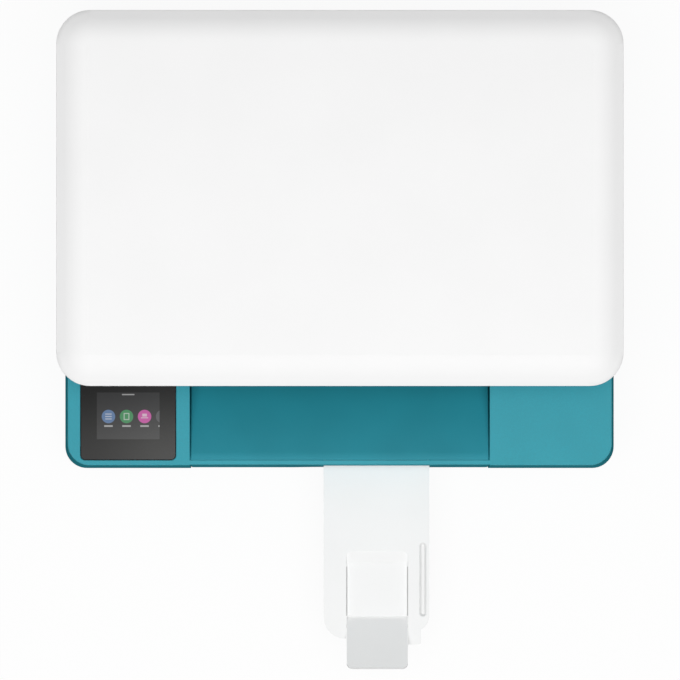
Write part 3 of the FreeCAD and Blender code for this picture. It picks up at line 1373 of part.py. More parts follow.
def carriage():
    """The print carriage: an open cradle for two cartridges on a bush, with a clip on the belt."""
    x0 = CARRIAGE_X - CARRIAGE_HALF
    x1 = CARRIAGE_X + CARRIAGE_HALF
    above = CARRIAGE_TOP + OVERCUT
    cradle = block(x0, x1, CARRIAGE_FRONT, CARRIAGE_BACK, CARRIAGE_BOTTOM, CARRIAGE_TOP)
    clip = block(CARRIAGE_X - CLIP_HALF, CARRIAGE_X + CLIP_HALF, CARRIAGE_BACK - OVERCUT, CLIP_BACK,
                 CLIP_BOTTOM, CLIP_TOP)
    bush = rod_x(x0, x1, ROD_AXIS, ROD_RADIUS + RUNNING_FIT)
    strip_slot = block(x0, x1, STRIP_Y - STRIP_SLOT_GAP, STRIP_Y + STRIP_THICK + STRIP_SLOT_GAP,
                       STRIP_BOTTOM - STRIP_SLOT_DROP, above)
    rear_step = block(x0, x1, CARRIAGE_BACK - REAR_STEP, CARRIAGE_BACK, REAR_STEP_Z, above)
    belt_back = PULLEY_Y - BELT_INNER
    belt_front = belt_back - BELT_THICK
    belt_slot = block(CARRIAGE_X - CLIP_HALF, CARRIAGE_X + CLIP_HALF, belt_front - CLIP_SLOT_GAP,
                      belt_back + CLIP_SLOT_GAP, BELT_BOTTOM - CLIP_SLOT_GAP, CLIP_TOP)
    cuts = [bush, strip_slot, rear_step, belt_slot]
    well = CARTRIDGE_HALF + CRADLE_GAP
    hole = NOSE_HALF + CRADLE_GAP
    for side in (-1, 1):
        x = CARRIAGE_X + side * CARTRIDGE_X
        cuts.append(block(x - well, x + well, CARTRIDGE_FRONT - CRADLE_GAP, CRADLE_BACK, CARRIAGE_FLOOR,
                          above))
        cuts.append(block(x - hole, x + hole, NOSE_FRONT - CRADLE_GAP, NOSE_BACK + CRADLE_GAP,
                          CARRIAGE_BOTTOM, CARRIAGE_FLOOR + OVERCUT))
    return without(joined([cradle, clip]), cuts)


def cartridge(side):
    """An ink cartridge: a body in the cradle, a print head nose through its floor and a thumb tab on top."""
    x = CARRIAGE_X + side * CARTRIDGE_X
    body = block(x - CARTRIDGE_HALF, x + CARTRIDGE_HALF, CARTRIDGE_FRONT, CARTRIDGE_BACK, CARRIAGE_FLOOR,
                 CARTRIDGE_TOP)
    body = softened(body, CARTRIDGE_EDGE, lambda box: flat_at(box, CARTRIDGE_TOP))
    nose = block(x - NOSE_HALF, x + NOSE_HALF, NOSE_FRONT, NOSE_BACK, NOSE_BOTTOM, CARRIAGE_FLOOR + OVERCUT)
    tab = block(x - THUMB_TAB_HALF, x + THUMB_TAB_HALF, THUMB_TAB_FRONT, THUMB_TAB_BACK,
                CARTRIDGE_TOP - OVERCUT, THUMB_TAB_TOP)
    return joined([body, nose, tab])


def service_station():
    """The tub at the carriage's rest, with a post under each print head."""
    tub = block(STATION_LEFT, STATION_RIGHT, STATION_FRONT, STATION_BACK, PAN_TOP, STATION_TOP)
    hollow = block(STATION_LEFT + STATION_WALL, STATION_RIGHT - STATION_WALL, STATION_FRONT + STATION_WALL,
                   STATION_BACK - STATION_WALL, STATION_FLOOR, STATION_TOP)
    pieces = [tub.cut(hollow)]
    for side in (-1, 1):
        x = CARRIAGE_X + side * CARTRIDGE_X
        pieces.append(block(x - CAP_HALF, x + CAP_HALF, CAP_FRONT, CAP_BACK, STATION_FLOOR - OVERCUT,
                            CAP_BOTTOM))
    return joined(pieces)


def print_caps():
    """Rubber cups that seal the print heads at rest."""
    cups = []
    inner = CAP_HALF - CAP_WALL
    for side in (-1, 1):
        x = CARRIAGE_X + side * CARTRIDGE_X
        cup = block(x - CAP_HALF, x + CAP_HALF, CAP_FRONT, CAP_BACK, CAP_BOTTOM, CAP_TOP)
        cups.append(cup.cut(block(x - inner, x + inner, CAP_FRONT + CAP_WALL, CAP_BACK - CAP_WALL, CAP_FLOOR,
                                  CAP_TOP)))
    return Part.makeCompound(cups)


# Scanner


def bed_tier(inset, z0, z1):
    """A block with the scanner's plan shape."""
    corner = BED_CORNER - inset
    return plan_block(-BED_HALF + inset, BED_HALF - inset, BED_FRONT + inset, BED_BACK - inset, z0, z1,
                      (corner,) * 4)


def unit_knuckle(x):
    """The moving half of a scanner hinge: a barrel on a web down the back of the bed."""
    half = UNIT_EAR_GAP / 2 - KNUCKLE_END_GAP
    barrel = rod_x(x - half, x + half, UNIT_HINGE, UNIT_BARREL)
    web = block(x - half, x + half, BED_BACK - OVERCUT, UNIT_HINGE[0] + UNIT_WEB_BACK, UNIT_HINGE[1],
                BED_BOTTOM + UNIT_WEB_RISE)
    return joined([barrel, web])


def scan_bed():
    """The scanner's tub, with bosses for the head's rod, the scanner's knuckles and the lid's ears."""
    tub = bed_tier(0, BED_BOTTOM, BED_TOP)
    tub = softened(tub, BED_EDGE, lambda box: flat_at(box, BED_BOTTOM))
    pieces = [tub.cut(bed_tier(WALL, BED_BOTTOM + WALL, BED_TOP))]
    cuts = [rod_x(-BED_HALF + WALL, BED_HALF - WALL, SCAN_ROD, SCAN_ROD_RADIUS + PRESS_FIT)]
    lid_reach = LID_EAR_GAP / 2 + LID_EAR_WIDTH
    for side in (-1, 1):
        x0, x1 = side_pair(side, BED_HALF - SCAN_BOSS_INNER, BED_HALF - SCAN_BOSS_OUTER)
        pieces.append(block(x0, x1, SCAN_ROD[0] - SCAN_BOSS_HALF, SCAN_ROD[0] + SCAN_BOSS_HALF,
                            BED_BOTTOM + OVERCUT, SCAN_ROD[1] + SCAN_BOSS_HALF))
        x = side * UNIT_HINGE_X
        pieces.append(unit_knuckle(x))
        cuts.append(rod_x(x - UNIT_EAR_GAP / 2, x + UNIT_EAR_GAP / 2, UNIT_HINGE, UNIT_PIN + RUNNING_FIT))
        x = side * LID_HINGE_X
        pieces += hinge_ears(LID_HINGE, x, LID_BARREL, LID_EAR_GAP, LID_EAR_WIDTH, BED_BACK)
        cuts.append(rod_x(x - lid_reach, x + lid_reach, LID_HINGE, LID_PIN + PRESS_FIT))
    return without(joined(pieces), cuts)


def scan_frame():
    """The flat top of the scanner, which holds the glass under its lip."""
    plate = bed_tier(0, BED_TOP, FRAME_TOP)
    plate = softened(plate, FRAME_EDGE, lambda box: flat_at(box, FRAME_TOP))
    window = block(-GLASS_HALF_X, GLASS_HALF_X, GLASS_FRONT, GLASS_BACK, BED_TOP, FRAME_TOP)
    return without(plate, [window, glass_block()])


def glass_block():
    return block(-GLASS_HALF_X - GLASS_MARGIN, GLASS_HALF_X + GLASS_MARGIN, GLASS_FRONT - GLASS_MARGIN,
                 GLASS_BACK + GLASS_MARGIN, BED_TOP, BED_TOP + GLASS_THICK)


def scan_rod():
    return rod_x(-BED_HALF + WALL, BED_HALF - WALL, SCAN_ROD, SCAN_ROD_RADIUS)


def scan_head():
    """The sensor bar under the glass and the slider that carries it along its rod."""
    x = SCAN_HEAD_X
    bar = block(x - SCAN_BAR_HALF, x + SCAN_BAR_HALF, GLASS_FRONT - SCAN_BAR_OVERRUN,
                GLASS_BACK + SCAN_BAR_OVERRUN, SCAN_BAR_BOTTOM, SCAN_BAR_TOP)

    def long_top_edge(box):
        return box.YLength > 2 * SCAN_BAR_HALF and flat_at(box, SCAN_BAR_TOP)

    bar = softened(bar, SCAN_BAR_EDGE, long_top_edge)
    slider = block(x - SLIDER_HALF_X, x + SLIDER_HALF_X, SCAN_ROD[0] - SLIDER_HALF_Y,
                   SCAN_ROD[0] + SLIDER_HALF_Y, SLIDER_BOTTOM, SCAN_BAR_BOTTOM + OVERCUT)
    lens_slot = block(x - SCAN_SLOT_HALF, x + SCAN_SLOT_HALF, GLASS_FRONT, GLASS_BACK,
                      SCAN_BAR_TOP - SCAN_SLOT_DEPTH, SCAN_BAR_TOP)
    bore = rod_x(x - SLIDER_HALF_X, x + SLIDER_HALF_X, SCAN_ROD, SCAN_ROD_RADIUS + RUNNING_FIT)
    return without(joined([bar, slider]), [lens_slot, bore])


def hinge_pins(axis, x, reach, radius):
    """A pair of pins, one at each hinge."""
    return Part.makeCompound([rod_x(middle - reach, middle + reach, axis, radius) for middle in (-x, x)])


def unit_hinge_pins():
    return hinge_pins(UNIT_HINGE, UNIT_HINGE_X, UNIT_EAR_GAP / 2 + UNIT_EAR_WIDTH, UNIT_PIN)


# Lid


def lid_tier(inset, z0, z1):
    """A block with the lid's plan shape."""
    corner = LID_CORNER - inset
    return plan_block(-LID_HALF_WIDTH + inset, LID_HALF_WIDTH - inset, LID_FRONT + inset, LID_BACK - inset,
                      z0, z1, (corner,) * 4)


def lid_edge_face(inset, place):
    """The lid's edge in section, from its wall in to a corner's axis: a slope that rolls into the top."""
    top = LID_TOP - inset
    slope = math.radians(LID_SLOPE)
    slope_end = inset + LID_SLOPE_RUN
    roll = LID_CORNER - slope_end - LID_FLAT
    radius = roll / math.sin(slope)
    slope_top = top - radius * (1 - math.cos(slope))
    edge = slope_top - LID_SLOPE_RUN * math.tan(slope)
    foot = place(inset, LID_BOTTOM)
    roll_start = place(slope_end, slope_top)
    roll_mid = place(slope_end + roll - radius * math.sin(slope / 2),
                     top - radius * (1 - math.cos(slope / 2)))
    roll_end = place(slope_end + roll, top)
    rise = [foot, place(inset, edge), roll_start]
    close = [roll_end, place(LID_CORNER, top), place(LID_CORNER, LID_BOTTOM), foot]
    edges = [Part.makeLine(a, b) for a, b in zip(rise, rise[1:])]
    edges.append(Part.Arc(roll_start, roll_mid, roll_end).toShape())
    edges += [Part.makeLine(a, b) for a, b in zip(close, close[1:])]
    return Part.Face(Part.Wire(edges))


def lid_form(inset):
    """The lid's solid form, or its hollow at a wall's depth: a flat middle inside a sloping edge."""
    left = -LID_HALF_WIDTH + LID_CORNER
    front = LID_FRONT + LID_CORNER
    back = LID_BACK - LID_CORNER
    up = point(0, 0, 1)
    front_side = lid_edge_face(inset, lambda u, z: point(left, LID_FRONT + u, z))
    back_side = lid_edge_face(inset, lambda u, z: point(left, LID_BACK - u, z))
    left_side = lid_edge_face(inset, lambda u, z: point(-LID_HALF_WIDTH + u, front, z))
    pieces = [block(left, -left, front, back, LID_BOTTOM, LID_TOP - inset)]
    pieces += [side.extrude(point(-2 * left, 0, 0)) for side in (front_side, back_side)]
    ends = [left_side.extrude(point(0, back - front, 0)), left_side.revolve(point(left, front, 0), up, 90),
            back_side.revolve(point(left, back, 0), up, 90)]
    pieces += ends
    pieces += [mirrored(end) for end in ends]
    return joined(pieces)


def lid_cover():
    return lid_form(0).cut(lid_form(LID_WALL))


def lid_inner_plate():
    """The inner face of the lid, with the moving halves of the lid hinges."""
    top = LID_PLATE_BOTTOM + LID_PLATE_THICK
    pieces = [lid_tier(LID_WALL + LID_PLATE_GAP, LID_PLATE_BOTTOM, top)]
    bores = []
    half = LID_EAR_GAP / 2 - KNUCKLE_END_GAP
    y, z = LID_HINGE
    for x in (-LID_HINGE_X, LID_HINGE_X):
        pieces.append(rod_x(x - half, x + half, LID_HINGE, LID_BARREL))
        pieces.append(block(x - half, x + half, y - LID_WEB_FRONT, y + LID_WEB_BACK, z,
                            LID_PLATE_BOTTOM + OVERCUT))
        bores.append(rod_x(x - half, x + half, LID_HINGE, LID_PIN + RUNNING_FIT))
    return without(joined(pieces), bores)


def backing_pad():
    """The white pad under the lid that presses a page on the glass."""
    return plan_block(-GLASS_HALF_X + PAD_INSET, GLASS_HALF_X - PAD_INSET, GLASS_FRONT + PAD_INSET,
                      GLASS_BACK - PAD_INSET, PAD_BOTTOM, LID_PLATE_BOTTOM, (PAD_CORNER,) * 4)


def lid_hinge_pins():
    return hinge_pins(LID_HINGE, LID_HINGE_X, LID_EAR_GAP / 2 + LID_EAR_WIDTH, LID_PIN)


NODES = {
    "base_pan": base_pan,
    "rubber_feet": rubber_feet,
    "main_case": main_case,
    "front_fascia": front_fascia,
    "inner_cover": inner_cover,
    "output_tray": output_tray,
    "screen_lens": screen_lens,
    "display_module": display_module,
    "main_board": main_board,
    "usb_port": usb_port,
    "power_supply": power_supply,
    "power_inlet": power_inlet,
    "power_button": power_button,
    "tray_extender": tray_extender,
    "stop_flap": stop_flap,
    "drawer_tray": drawer_tray,
    "drawer_front": drawer_front,
    "left_width_guide": lambda: width_guide(-1),
    "right_width_guide": lambda: width_guide(1),
    "guide_pinion": guide_pinion,
    "length_guide": length_guide,
    "roller_frame": roller_frame,
    "feed_shaft": feed_shaft,
    "feed_rollers": feed_rollers,
    "feed_gear": feed_gear,
    "exit_roller": exit_roller,
    "exit_gear": exit_gear,
    "idler_gear": idler_gear,
    "motor_pinion": motor_pinion,
    "feed_motor": feed_motor,
    "pinch_rollers": pinch_rollers,
    "star_wheels": star_wheels,
    "roller_holders": roller_holders,
    "platen": platen,
    "pick_shaft": pick_shaft,
    "pick_arm": pick_arm,
    "pick_roller": pick_roller,
    "turn_guide": turn_guide,
    "rail_frame": rail_frame,
    "carriage_rod": carriage_rod,
    "carriage_motor": carriage_motor,
    "motor_pulley": lambda: belt_pulley(-PULLEY_X),
    "idler_pulley": lambda: belt_pulley(PULLEY_X),
    "drive_belt": drive_belt,
    "encoder_strip": encoder_strip,
    "carriage": carriage,
    "black_cartridge": lambda: cartridge(-1),
    "colour_cartridge": lambda: cartridge(1),
    "service_station": service_station,
    "print_caps": print_caps,
    "scan_bed": scan_bed,
    "scan_frame": scan_frame,
    "scan_glass": glass_block,
    "scan_rod": scan_rod,
    "scan_head": scan_head,
    "unit_hinge_pins": unit_hinge_pins,
    "lid_cover": lid_cover,
    "lid_inner_plate": lid_inner_plate,
    "backing_pad": backing_pad,
    "lid_hinge_pins": lid_hinge_pins,
}


def main():
    os.makedirs("parts", exist_ok=True)
    for name, build in NODES.items():
        shape = build()
        box = shape.BoundBox
        spans = [f"{low:.1f} {high:.1f}" for low, high in
                 ((box.XMin, box.XMax), (box.YMin, box.YMax), (box.ZMin, box.ZMax))]
        print(f"{name}: {len(shape.Solids)} solid(s), {shape.Volume / 1000:.2f} cm3, "
              f"valid {shape.isValid()}, x {spans[0]}, y {spans[1]}, z {spans[2]}")
        shape.exportStep(f"parts/{name}.step")


main()
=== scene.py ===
# %% [markdown]
# # An all-in-one inkjet printer seen from straight above
# The solids of the printer come from its CAD source, already at real size and in place. This lesson
# dresses them: it gives every moulding, roller and rod a finish of its own, softens the edges that a
# mould leaves round, draws the picture on the small display and lights the whole on a pale table. Nothing
# here changes the printer's size, so the box of the solids is kept from the start.

# %% Load the frame and keep its box
import json
import math

import bmesh
import bpy
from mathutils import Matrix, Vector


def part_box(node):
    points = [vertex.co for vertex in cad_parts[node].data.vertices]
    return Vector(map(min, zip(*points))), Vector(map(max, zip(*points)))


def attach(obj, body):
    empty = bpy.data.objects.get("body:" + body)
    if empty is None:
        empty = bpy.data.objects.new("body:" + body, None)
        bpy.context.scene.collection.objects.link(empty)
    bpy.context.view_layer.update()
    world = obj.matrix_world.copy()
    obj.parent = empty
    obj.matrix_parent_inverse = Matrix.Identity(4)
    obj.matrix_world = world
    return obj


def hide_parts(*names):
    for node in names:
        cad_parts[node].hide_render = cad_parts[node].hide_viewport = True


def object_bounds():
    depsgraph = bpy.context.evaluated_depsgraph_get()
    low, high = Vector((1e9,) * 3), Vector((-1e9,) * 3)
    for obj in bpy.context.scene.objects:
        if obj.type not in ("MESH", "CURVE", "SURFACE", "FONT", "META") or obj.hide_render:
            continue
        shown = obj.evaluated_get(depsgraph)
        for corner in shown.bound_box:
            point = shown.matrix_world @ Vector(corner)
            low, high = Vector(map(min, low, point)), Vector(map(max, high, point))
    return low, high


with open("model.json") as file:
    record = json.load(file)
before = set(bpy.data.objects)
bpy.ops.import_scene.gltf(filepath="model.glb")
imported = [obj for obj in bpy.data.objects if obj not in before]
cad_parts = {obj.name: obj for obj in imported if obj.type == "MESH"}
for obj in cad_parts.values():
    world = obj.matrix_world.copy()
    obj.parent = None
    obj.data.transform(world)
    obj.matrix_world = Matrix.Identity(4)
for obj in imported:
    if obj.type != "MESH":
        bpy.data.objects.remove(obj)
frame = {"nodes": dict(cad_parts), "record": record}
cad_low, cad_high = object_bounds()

MM = 0.001
nodes = frame["nodes"]
record = frame["record"]
size = [round((high - low) / MM, 1) for low, high in zip(cad_low, cad_high)]
print("printer box in mm:", size, "with", len(nodes), "nodes")

# %% [markdown]
# ## Shader maths as plain sums
# A finish is a small sum of patterns: some grain, a little unevenness, a printed mark. It could be wired
# up node by node, but that gets long and hides the sum. So one small class stands for a socket: a plus or
# a times on it adds a Math node, and `1 - mask` works too. Any other node comes from `make`, which sets
# the node's settings first and its sockets after that.

# %% A socket that can be added and multiplied


class Wire:
    """An output socket in a finish's node tree."""

    def __init__(self, tree, socket):
        self.tree = tree
        self.socket = socket

    def make(self, kind, settings=None, sockets=None, out=0):
        """Adds a node: its type, its settings, then the values or links of its sockets."""
        node = self.tree.nodes.new(kind)
        for name, value in (settings or {}).items():
            setattr(node, name, value)
        for key, value in (sockets or {}).items():
            if isinstance(value, Wire):
                self.tree.links.new(value.socket, node.inputs[key])
            else:
                node.inputs[key].default_value = value
        return Wire(self.tree, node.outputs[out])

    def beside(self, name):
        """Another output of the same node."""
        return Wire(self.tree, self.socket.node.outputs[name])

    def math(self, operation, first, second=0.0):
        """A Math node on one or two values."""
        return self.make("ShaderNodeMath", {"operation": operation}, {0: first, 1: second})

    def __add__(self, other):
        return self.math("ADD", self, other)

    def __sub__(self, other):
        return self.math("SUBTRACT", self, other)

    def __rsub__(self, other):
        return self.math("SUBTRACT", other, self)

    def __mul__(self, other):
        return self.math("MULTIPLY", self, other)

    __radd__ = __add__
    __rmul__ = __mul__

    def bend(self, operation):
        """Maths on this value alone: its size without sign, its fraction, its sine or its root."""
        return self.math(operation, self)

    def over(self, low, high):
        """A soft step: 0 below low, 1 above high."""
        settings = {"interpolation_type": "SMOOTHSTEP"}
        return self.make("ShaderNodeMapRange", settings, {0: self, 1: low, 2: high})

    def between(self, low, high):
        """A straight run: low where this is 0, high where it is 1."""
        return self * (high - low) + low

    def tint(self, first, second):
        """Where this mask is 0 the first colour shows, where it is 1 the second."""
        sockets = {0: self, 6: colour(first), 7: colour(second)}
        return self.make("ShaderNodeMix", {"data_type": "RGBA"}, sockets, out=2)


def colour(value):
    """A colour with its alpha, or a link left as it is."""
    return value if isinstance(value, Wire) else (*value[:3], 1.0)


print("shader sums ready")

# %% [markdown]
# ## The parts of every finish
# Real mouldings are never one flat colour. A spark-eroded mould leaves a fine grain, the plastic's flow
# leaves a slow unevenness, and the grain also changes the shine. Such patterns could follow an unwrapped
# surface, but every seam of it would show. These helpers read the place on the part in metres instead, so
# a 0.5 mm grain is 0.5 mm on every piece, and a moving piece carries its own pattern with it.

# %% Start a finish and read places on it


def start(name):
    """A new finish: its material, its shader and the place on the part."""
    material = bpy.data.materials.new(name)
    material.use_nodes = True
    tree = material.node_tree
    shader = tree.nodes["Principled BSDF"]
    place = Wire(tree, None).make("ShaderNodeTexCoord", out="Object")
    return material, shader, place


def axes(place):
    """The place as three values."""
    split = place.make("ShaderNodeSeparateXYZ", None, {0: place})
    return [split.beside(name) for name in "XYZ"]


def feed(shader, **sockets):
    """Sets or links the shader's sockets, by names with underscores for spaces."""
    for name, value in sockets.items():
        target = shader.inputs[name.replace("_", " ")]
        if isinstance(value, Wire):
            value.tree.links.new(value.socket, target)
        else:
            target.default_value = value


print("finishes can be started and fed")

# %% Patterns of a real size
CLOUD_MEAN = 0.5


def cloud(place, grain_mm, detail=2.0):
    """Soft random unevenness from 0 to 1, about CLOUD_MEAN on average, with lumps of the given size."""
    sockets = {"Vector": place, "Scale": 1.0 / (grain_mm * MM), "Detail": detail, "Roughness": 0.5}
    return place.make("ShaderNodeTexNoise", None, sockets)


def relief(height, depth_mm, strength=1.0):
    """A bump from a height pattern, of a real depth."""
    sockets = {"Height": height, "Distance": depth_mm * MM, "Strength": strength}
    return height.make("ShaderNodeBump", None, sockets)


print("patterns are measured in mm")

# %% [markdown]
# ## Plastic that is matt edge on
# Smooth plastic mirrors its surroundings when it is seen almost edge on. The printer's teal body has a
# spark-eroded grain that hides its own shine there, and its walls, which lean out a little, draw a dark
# line round it from above. A much rougher finish would lose the soft shine of the deck as well. So two
# shaders are mixed: the usual one where a face looks at the eye, and a plain matt one of the same colour
# where it turns away.

# %% Fade a finish to matt
MATT_FROM, MATT_TO = 0.70, 0.92


def matt_edge_on(material, shader, place, shade, bump):
    """Lets a finish fade to plain matt where its face turns away from the eye."""
    tree = material.node_tree
    sockets = {"Base Color": shade, "Roughness": 1.0, "Specular IOR Level": 0.0, "Normal": bump}
    plain = place.make("ShaderNodeBsdfPrincipled", None, sockets)
    facing = place.make("ShaderNodeLayerWeight", None, {"Blend": 0.5}, out="Facing")
    turned = facing.over(MATT_FROM, MATT_TO)
    both = place.make("ShaderNodeMixShader", None, {0: turned, 1: Wire(tree, shader.outputs[0]), 2: plain})
    tree.links.new(both.socket, tree.nodes["Material Output"].inputs["Surface"])


print("matt from", MATT_FROM, "to", MATT_TO, "of the turn")

# %% [markdown]
# ## Moulded plastic
# Most of the printer is injection moulded. The lid is a bright white with a fine even grain, the body a
# deep teal with a coarser one, the flap a satin grey, the inside black. Each could have a material of its
# own, but they differ only in colour and in how strong each pattern is. So one recipe makes them all: the
# grain goes into a bump, a slow cloud and a share of the grain shift the colour, by up to five percent on
# the outer pieces, and the shine follows the grain.

# %% A recipe for moulded plastic
FLOW_MM = 60.0
SPECK_RANGE = (0.25, 0.75)
SHINE_SWING = 0.1
# The grey that painted shade darkens a moulding towards.
GROOVE_SHADE_GREY = (0.40, 0.40, 0.39)


def moulded(name, base, shine, grain_mm=0.45, grain_depth_mm=0.012, shift=0.03, fleck=0.25, matt=False,
            dust_and_shade=None):
    """Moulded plastic: its colour, roughness, grain size and depth, how far the colour shifts, the grain's
    share in that, whether it is matt edge on, and a mask of painted shade that darkens it to a grey."""
    material, shader, place = start(name)
    grain = cloud(place, grain_mm)
    speck = (grain - CLOUD_MEAN) * fleck + cloud(place, FLOW_MM)
    low = [part * (1.0 - shift) for part in base]
    high = [min(1.0, part * (1.0 + shift)) for part in base]
    shade = speck.over(*SPECK_RANGE).tint(low, high)
    # Painted shade: where the mask is 1 the colour goes to that grey.
    if dust_and_shade:
        shade = dust_and_shade(place).tint(shade, GROOVE_SHADE_GREY)
    bump = relief(grain, grain_depth_mm)
    roughness = grain.between(shine - SHINE_SWING, shine + SHINE_SWING)
    feed(shader, Base_Color=shade, Roughness=roughness, Normal=bump)
    if matt:
        matt_edge_on(material, shader, place, shade, bump)
    return material


print("colour flows over", FLOW_MM, "mm")

# %% Mix the moulded finishes
WHITE = (0.905, 0.905, 0.905)
TEAL = (0.030, 0.292, 0.360)
# The well floor's teal is the body's teal darkened as painted shade: the floor lies lower and tilts away
# from the light.
SHADED_TEAL = (0.018, 0.235, 0.300)
STOP_GREY = (0.822, 0.826, 0.824)
BLACK = (0.022, 0.022, 0.024)
MID_GREY = (0.20, 0.21, 0.22)
GEAR_CREAM = (0.80, 0.785, 0.73)
SUPPLY_BLACK = (0.030, 0.030, 0.033)
SENSOR_BLACK = (0.028, 0.028, 0.031)
FOAM_WHITE = (0.86, 0.86, 0.85)
DISPLAY_BLACK = (0.018, 0.018, 0.020)

MOULDINGS = {
    "white_shell": dict(base=WHITE, shine=0.42, shift=0.007),
    "teal_shell": dict(base=TEAL, shine=0.46, grain_mm=0.9, shift=0.05, fleck=1.0, matt=True),
    "teal_floor": dict(base=SHADED_TEAL, shine=0.50, shift=0.05),
    "flap_grey": dict(base=STOP_GREY, shine=0.40, grain_mm=0.30, grain_depth_mm=0.006, shift=0.015),
    "dark_plastic": dict(base=BLACK, shine=0.52, grain_depth_mm=0.02, shift=0.15),
    "grey_plastic": dict(base=MID_GREY, shine=0.45, shift=0.06),
    "gear_plastic": dict(base=GEAR_CREAM, shine=0.34, grain_mm=0.2, grain_depth_mm=0.003),
    "supply_box": dict(base=SUPPLY_BLACK, shine=0.55, grain_mm=0.8, grain_depth_mm=0.04, shift=0.12),
    "sensor_bar": dict(base=SENSOR_BLACK, shine=0.50, shift=0.12),
    "pad_foam": dict(base=FOAM_WHITE, shine=0.62, grain_mm=1.1, grain_depth_mm=0.05, shift=0.02),
    "display": dict(base=DISPLAY_BLACK, shine=0.20, grain_depth_mm=0.001, shift=0.1),
}
finishes = {name: moulded(name, **recipe) for name, recipe in MOULDINGS.items()}
print("moulded finishes:", ", ".join(finishes))

# %% [markdown]
# ## Rubber
# The feet, rollers and caps are soft rubber: nearly black, dull and slightly dusty. Dust could be a layer
# of its own, but on rubber it only shows as pale cloudy patches. So the colour rises a little where a
# slow cloud is high, and the shine drops there too. The belt gets fine cross ribs from a sine along X.

# %% Rubber for feet, rollers and the belt
RUBBER_GRAIN_MM = 0.5
BLOOM_MM = 9.0
BLOOM_RANGE = (0.45, 0.75)
RUBBER_ROUGH, DUSTY_ROUGH = 0.74, 0.86
GRAIN_HEIGHT, RIB_HEIGHT = 0.5, 0.5


def rubber(name, base, dust_and_shade, ribs_mm=None):
    """Dull rubber with a dusty bloom, and fine cross ribs where it grips."""
    material, shader, place = start(name)
    bloom = cloud(place, BLOOM_MM, detail=4.0).over(*BLOOM_RANGE)
    height = cloud(place, RUBBER_GRAIN_MM) * GRAIN_HEIGHT
    if ribs_mm:
        turns = axes(place)[0] * (2.0 * math.pi / (ribs_mm * MM))
        height = height + turns.bend("SINE") * RIB_HEIGHT
    roughness = bloom.between(RUBBER_ROUGH, DUSTY_ROUGH)
    bump = relief(height, depth_mm=0.05, strength=0.6)
    feed(shader, Base_Color=bloom.tint(base, dust_and_shade), Roughness=roughness, Normal=bump)
    return material


SOFT_BLACK, SOFT_DUST = (0.020, 0.020, 0.021), (0.045, 0.044, 0.043)
BELT_BLACK, BELT_DUST = (0.014, 0.014, 0.014), (0.030, 0.030, 0.030)
finishes["soft_rubber"] = rubber("soft_rubber", SOFT_BLACK, SOFT_DUST)
finishes["belt_rubber"] = rubber("belt_rubber", BELT_BLACK, BELT_DUST, ribs_mm=2.0)
print("rubber finishes made")

# %% [markdown]
# ## Steel
# Two steels sit inside: ground rods, whose grinding marks run round them, and zinc-coated sheet with its
# patchwork of crystals. An anisotropic shader could give the marks, but it needs tangents that these
# solids don't have. Marks that run round a rod lying along X change quickly along X, so the place is
# drawn out along X before the cloud is taken. The crystals come from a Voronoi pattern whose cells each
# keep one value.

# %% Ground rods
MARK_STRETCH = (40.0, 1.0, 1.0)
ROD_DARK, ROD_LIGHT = (0.50, 0.50, 0.51), (0.66, 0.66, 0.67)


def ground_steel():
    """Bright steel with fine marks across X."""
    material, shader, place = start("ground_steel")
    stretched = place.make("ShaderNodeVectorMath", {"operation": "MULTIPLY"}, {0: place, 1: MARK_STRETCH})
    marks = cloud(stretched, grain_mm=6.0, detail=3.0)
    feed(shader, Base_Color=marks.tint(ROD_DARK, ROD_LIGHT), Metallic=1.0,
         Roughness=marks.between(0.16, 0.34), Normal=relief(marks, depth_mm=0.004))
    return material


finishes["ground_steel"] = ground_steel()
print("rods ground with marks stretched", MARK_STRETCH[0], "times")

# %% Zinc-coated sheet
CRYSTAL_MM = 7.0
SHEET_DARK, SHEET_LIGHT = (0.47, 0.48, 0.49), (0.60, 0.61, 0.62)


def sheet_steel():
    """Coated sheet: flat crystals, each with its own shade and shine, under a fine grain."""
    material, shader, place = start("sheet_steel")
    sockets = {"Vector": place, "Scale": 1.0 / (CRYSTAL_MM * MM)}
    crystal = place.make("ShaderNodeTexVoronoi", {"feature": "F1"}, sockets, out="Color")
    value = axes(crystal)[0]
    grain = cloud(place, grain_mm=0.6)
    feed(shader, Base_Color=value.tint(SHEET_DARK, SHEET_LIGHT), Metallic=1.0,
         Roughness=value.between(0.24, 0.38) + grain * 0.12, Normal=relief(grain, depth_mm=0.006))
    return material


finishes["sheet_steel"] = sheet_steel()
print("crystals of", CRYSTAL_MM, "mm")

# %% [markdown]
# ## Masks for marks at a known place
# Some marks have a fixed place on the printer: dust in a groove, a patch on a cartridge's tab, the discs
# on the display. They could be painted on an image, but an image needs unwrapping and has a resolution. A
# mask needs neither: soft steps on the X and Y of the place are 1 inside a box, a disc or a rim and 0
# outside. All sizes are in mm, in the printer's own frame.

# %% Masks for boxes, discs and rims
EDGE = 0.18 * MM


def box_mask(x, y, centre, spans):
    """1 inside a box given in mm, with a soft edge."""
    half_x, half_y = spans[0] * MM / 2, spans[1] * MM / 2
    far_x = (x - centre[0] * MM).bend("ABSOLUTE")
    far_y = (y - centre[1] * MM).bend("ABSOLUTE")
    inside_x = 1 - far_x.over(half_x - EDGE, half_x + EDGE)
    return inside_x * (1 - far_y.over(half_y - EDGE, half_y + EDGE))


def disc_mask(x, y, centre, radius):
    """1 inside a disc given in mm, with a soft edge."""
    from_x = x - centre[0] * MM
    from_y = y - centre[1] * MM
    far = (from_x * from_x + from_y * from_y).bend("SQRT")
    return 1 - far.over(radius * MM - EDGE, radius * MM + EDGE)


